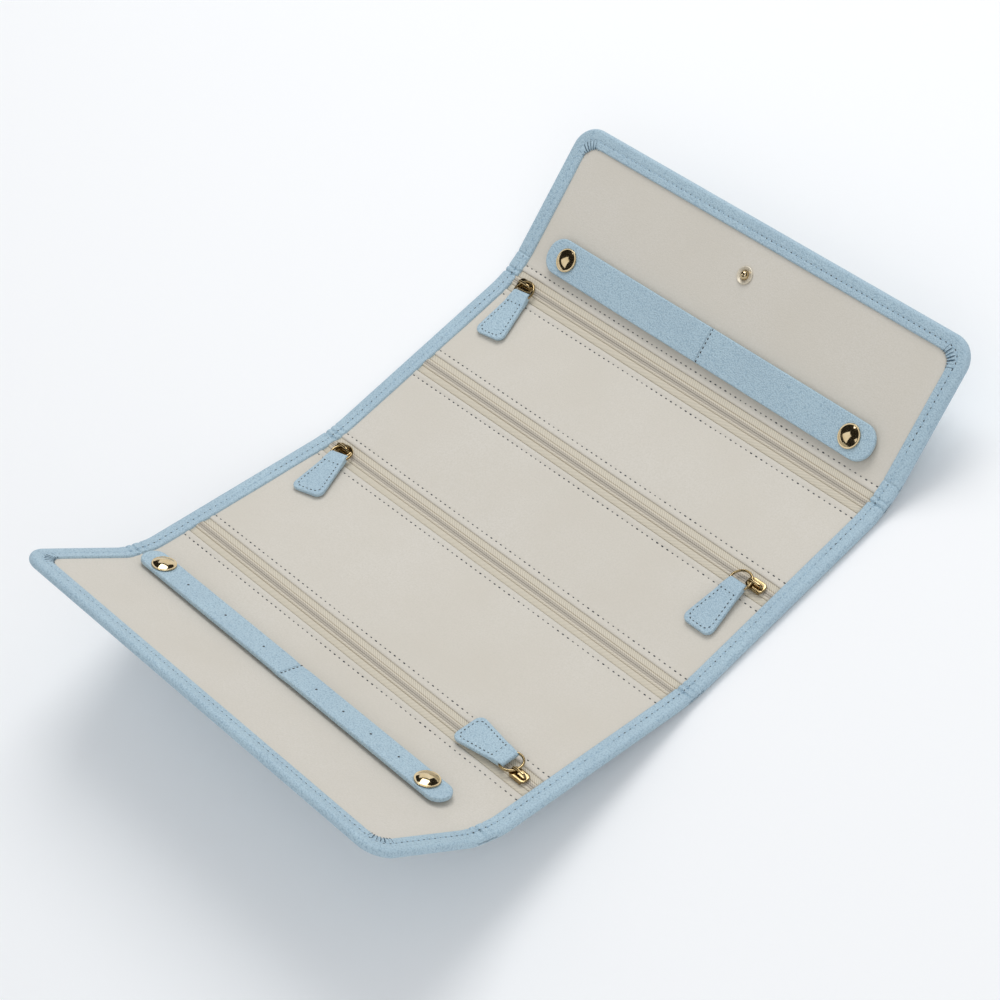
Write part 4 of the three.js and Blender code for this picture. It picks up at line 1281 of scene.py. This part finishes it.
def tab_shape(lift):
    """A flat strip that is folded round the ring's wire, and bent down to its end."""
    reach, across, edge, front = soft_plate(
        tab_start, tab_end, tab_half_width, tab_corner, tab_bevel, tab_half_at_ring,
    )
    rise, half = tab_bend(reach, lift)
    thick = (half - tab_bevel * edge) * front
    heights = rise + thick, rise - thick
    return closed_grid(*(np.stack([across, -reach, h], axis=-1) for h in heights))


def tab_seam():
    """The row of stitches in from a tab's edge, and the row across it, as flat lines."""
    end, corner = tab_end - tab_seam_inset, tab_corner - tab_seam_inset * 0.6
    down = np.linspace(tab_seam_start, end - corner, 40)
    side = np.column_stack([tab_half_width(down) - tab_seam_inset, -down])
    swing = np.linspace(0, math.pi / 2, 14)[1:]
    bend = side[-1] + corner * np.column_stack([np.cos(swing) - 1, -np.sin(swing)])
    right_side = np.concatenate([side, bend])
    around = np.concatenate([right_side, (right_side * [-1, 1])[::-1]])
    wide = tab_half_width(tab_seam_start) - tab_seam_inset
    return around, np.column_stack([np.linspace(-wide, wide, 20), np.full(20, -tab_seam_start)])


def lining_seen_from(along, distance):
    """How high the lining stands, at a distance, over the level of the lining at a place."""
    _, ahead, up = place(0, along + distance, 0) - place(0, along, 0)
    return float(up * math.cos(slope_at(along)) - ahead * math.sin(slope_at(along)))


# %% Place the sliders, rings and tabs
for number, (side, ring_y, turn, rest) in pulls.items():
    along = zip_places[number]
    slider_spot = frame_at(along, side * slider_home)
    points, faces = slider_shape()
    if side < 0:
        points, faces = points * [-1, 1, 1], [face[::-1] for face in faces]
    set_on(slider_spot, (points, faces), f"zip_{number}_slider_body", dark_gold, "pale_gold",
           f"slider_{number}", f"zip_{number}_slider")

    ring_x = crossing_x - side * math.sqrt(ring_radius ** 2 - ring_y ** 2)
    ring_spot = slider_spot @ Matrix.Translation((ring_x, ring_y, wire_height))
    set_on(ring_spot, ring_shape(), f"zip_{number}_pull_ring", dark_gold, "pale_gold",
           f"pull_{number}", f"zip_{number}_ring")

    reach = tab_end * math.cos(turn) - ring_y
    lift = lining_seen_from(along, -reach) + rest + tab_half_thickness - wire_height
    tab_spot = ring_spot @ Matrix.Rotation(turn, 4, "Z")
    set_on(tab_spot, tab_shape(lift), f"zip_{number}_leather_tab", blue_leather, "blue_leather",
           f"pull_{number}", f"zip_{number}_pull_tab")
    lines = []
    for flat in tab_seam():
        over = np.column_stack([flat, sum(tab_bend(-flat[:, 1], lift))])
        lines.append((carried(over, tab_spot), np.tile(tab_spot.to_3x3().col[2], (len(over), 1))))
    # The tab's needle holes are dark beads of painted shade.
    bead_row(f"zip_{number}_tab_needle_holes", lines, hole_shade, "blue_leather", f"pull_{number}",
             tab_hole_pitch, tab_hole_size, unevenness=0.15)

# %% [markdown]
# ## Straps and press studs
#
# Each strap is two halves that meet where they are sewn to the spine. A half is a soft plate with a
# round end, and near the middle it dips to the spine. The press studs are lathe work: a domed cap
# with a thin rolled rim and a barrel below it, and on the spine a disc with a neck and a ball.

# %% Shapes of a strap half, a cap and a stud
strap_half_length = roll_width / 2 - 0.0195
strap_cap_reach = strap_half_length - 0.013
strap_lift = 0.0016
strap_gap = 0.0001
strap_bevel = 0.0007
strap_dip_depth, strap_dip_reach = 0.0004, 0.004
foot_length, foot_half_width = 0.003, 0.0025
foot_low, foot_high = 0.0004, strap_lift + 0.0006
foot_corner = 0.0003
foot_bevel = 0.0001
straps = {
    "ring_strap": dict(along=ring_fold + 0.0086, offset=0.0, half=0.0088, top=strap_lift + 0.0022,
                       corner=0.0082, body="ring_spine"),
    "earring_strap": dict(along=earring_fold - 0.00825, offset=-0.0065, half=0.00625,
                          top=strap_lift + 0.0024, corner=0.006, body="earring_spine"),
}
cap_radius = 0.0058
cap_height = 0.0019
barrel_radius = 0.0031
bore_radius = 0.0019
barrel_drop = 0.0003
seat_gap = 0.00025
roll_radius = 0.00035
dome_inset = 0.0004
dome_foot = 0.00045
disc_radius, disc_level, disc_roll = 0.0040, 0.00045, 0.0002
neck_foot = (0.0013, 0.0008)
neck_radius, neck_gap = 0.0012, 0.00105
ball_radius = 0.0016
ball_gap = 0.0003


def strap_dip(x):
    """How far the strap dips towards the spine near its sewn middle."""
    return -strap_dip_depth * groove(x, 0, strap_dip_reach)


def strap_shape(half, top, corner):
    """Half a strap, which leads along its own +x from the middle, with a foot where it is sewn."""
    reach, across, edge, _ = soft_plate(
        strap_gap, strap_half_length, lambda x: np.full_like(x, half), corner, strap_bevel,
    )
    heights = top - strap_bevel * edge, strap_lift + strap_bevel * edge
    leather = closed_grid(*(np.stack([reach, across, h + strap_dip(reach)], axis=-1) for h in heights))
    near, far, aside = strap_gap, foot_length, foot_half_width
    foot = rounded_outline([(far, aside), (near, aside), (near, -aside), (far, -aside)],
                           [foot_corner] * 4, steps=2)
    return together(leather, bevelled_plate(foot, foot_low, foot_high, foot_bevel, steps=1))


def domed(radius, height, seat):
    """The upper part of a cap's profile: a thin rolled rim, and a low dome over it."""
    return [*arc(radius - roll_radius, seat + roll_radius, roll_radius, -90, 60),
            *dome(radius - dome_inset, height - dome_foot, seat + dome_foot)]


def cap_profile(top):
    """A snap cap from the top of its bore, round the barrel and rim, to the top of its dome."""
    seat, foot = top + seat_gap, strap_lift - barrel_drop
    return [(0, top), (bore_radius, top), (bore_radius, foot),
            (barrel_radius, foot), (barrel_radius, seat), *domed(cap_radius, cap_height, seat)]


def stud_profile(top):
    """A snap stud from under its disc to the top of its ball."""
    centre = top - ball_gap - ball_radius
    return [(0, seat_gap), *arc(disc_radius, disc_level, disc_roll, -90, 90), neck_foot,
            (neck_radius, centre - neck_gap), *arc(0, centre, ball_radius, -41, 90, 8)]


# %% Place the straps
for name, strap in straps.items():
    for side_name, side in (("left", -1), ("right", 1)):
        body = f"{name}_{side_name}"
        spot = frame_at(strap["along"], strap["offset"], 0 if side > 0 else math.pi)
        set_on(spot, strap_shape(strap["half"], strap["top"], strap["corner"]), f"{body}_leather",
               blue_leather, "blue_leather", body, f"{body}_half")
        snap = frame_at(strap["along"], strap["offset"] + side * strap_cap_reach)
        set_on(snap, lathe(cap_profile(strap["top"]), 56), f"{body}_snap_cap",
               pale_gold, "pale_gold", body, f"{body}_cap")
        set_on(snap, lathe(stud_profile(strap["top"]), 40), f"{body}_snap_stud",
               pale_gold, "pale_gold", strap["body"], f"{body}_stud")

# %% Post holes of the earring strap, and the sewn middles
earring = straps["earring_strap"]
post_pitch = strap_cap_reach / 5
post_hole_size = (0.0012, 0.0012, 0.0001)
# The post holes are dark beads of painted shade.
for side_name, side in (("left", -1), ("right", 1)):
    xs = earring["offset"] + side * np.linspace(post_pitch, 4 * post_pitch, 80)
    bead_row(f"earring_strap_{side_name}_post_holes", [on_roll(xs, earring["along"], earring["top"])],
             hole_shade, "blue_leather", f"earring_strap_{side_name}",
             post_pitch, post_hole_size, unevenness=0.0)
sewn_x = 0.0009
sewn_pitch = 0.0021
sewn_hole_size = (0.0012, 0.0007, 0.00024)
# The needle holes of the sewn middles are dark beads of painted shade.
for name, strap in straps.items():
    across = np.linspace(0.0006 - strap["half"], strap["half"] - 0.0006, 30)
    line = on_roll(strap["offset"] + sewn_x, strap["along"] + across, strap["top"] + strap_dip(sewn_x))
    bead_row(f"{name}_middle_needle_holes", [line], hole_shade, "blue_leather", f"{name}_right",
             sewn_pitch, sewn_hole_size, unevenness=0.2)

# %% Closure: the stud and cap of the front flap, and the socket outside on the lid
closure_spot = frame_at(ring_fold + 0.0452)
socket_spot = frame_at(earring_fold + 0.00805)
outward = Matrix.Rotation(math.pi, 4, "X")
outer_seat = -underside + seat_gap
outer_cap_radius = 0.006
outer_cap_height = 0.0018
closure_parts = {
    "stud": (closure_spot, pale_gold, "front_flap", [
        (0, underside), (0.0012, underside), (0.0012, 0.00025), (0.0034, 0.00025), (0.0034, 0.00045),
        (0.0023, 0.00045), *arc(0, 0.0005, 0.0022, 2, 90, 8),
    ]),
    "rim": (closure_spot, satin_gold, "front_flap", [
        (0.0024, 0.0005), (0.0036, 0.0005), (0.0036, 0.00028), (0.0040, 0.00028),
        *arc(0.0040, 0.0006, 0.0003, -60, 180), (0.0024, 0.0006), (0.0024, 0.0005),
    ]),
    "cap": (closure_spot @ outward, pale_gold, "front_flap", [
        (0, outer_seat), *domed(outer_cap_radius, outer_cap_height, outer_seat),
    ]),
    "socket": (socket_spot @ outward, pale_gold, "lid_panel", [
        (0.0025, outer_seat), *arc(0.0044, outer_seat + 0.0002, 0.0002, -90, 0),
        *arc(0.0042, outer_seat + 0.0012, 0.0004, 0, 90),
        *arc(0.0029, outer_seat + 0.0012, 0.0004, 90, 180), (0.0025, outer_seat),
    ]),
}
for part, (spot, material, body, profile) in closure_parts.items():
    replaced = [] if part == "rim" else [f"closure_{part}"]
    set_on(spot, lathe(profile, 56), f"closure_snap_{part}", material, "pale_gold", body, *replaced)
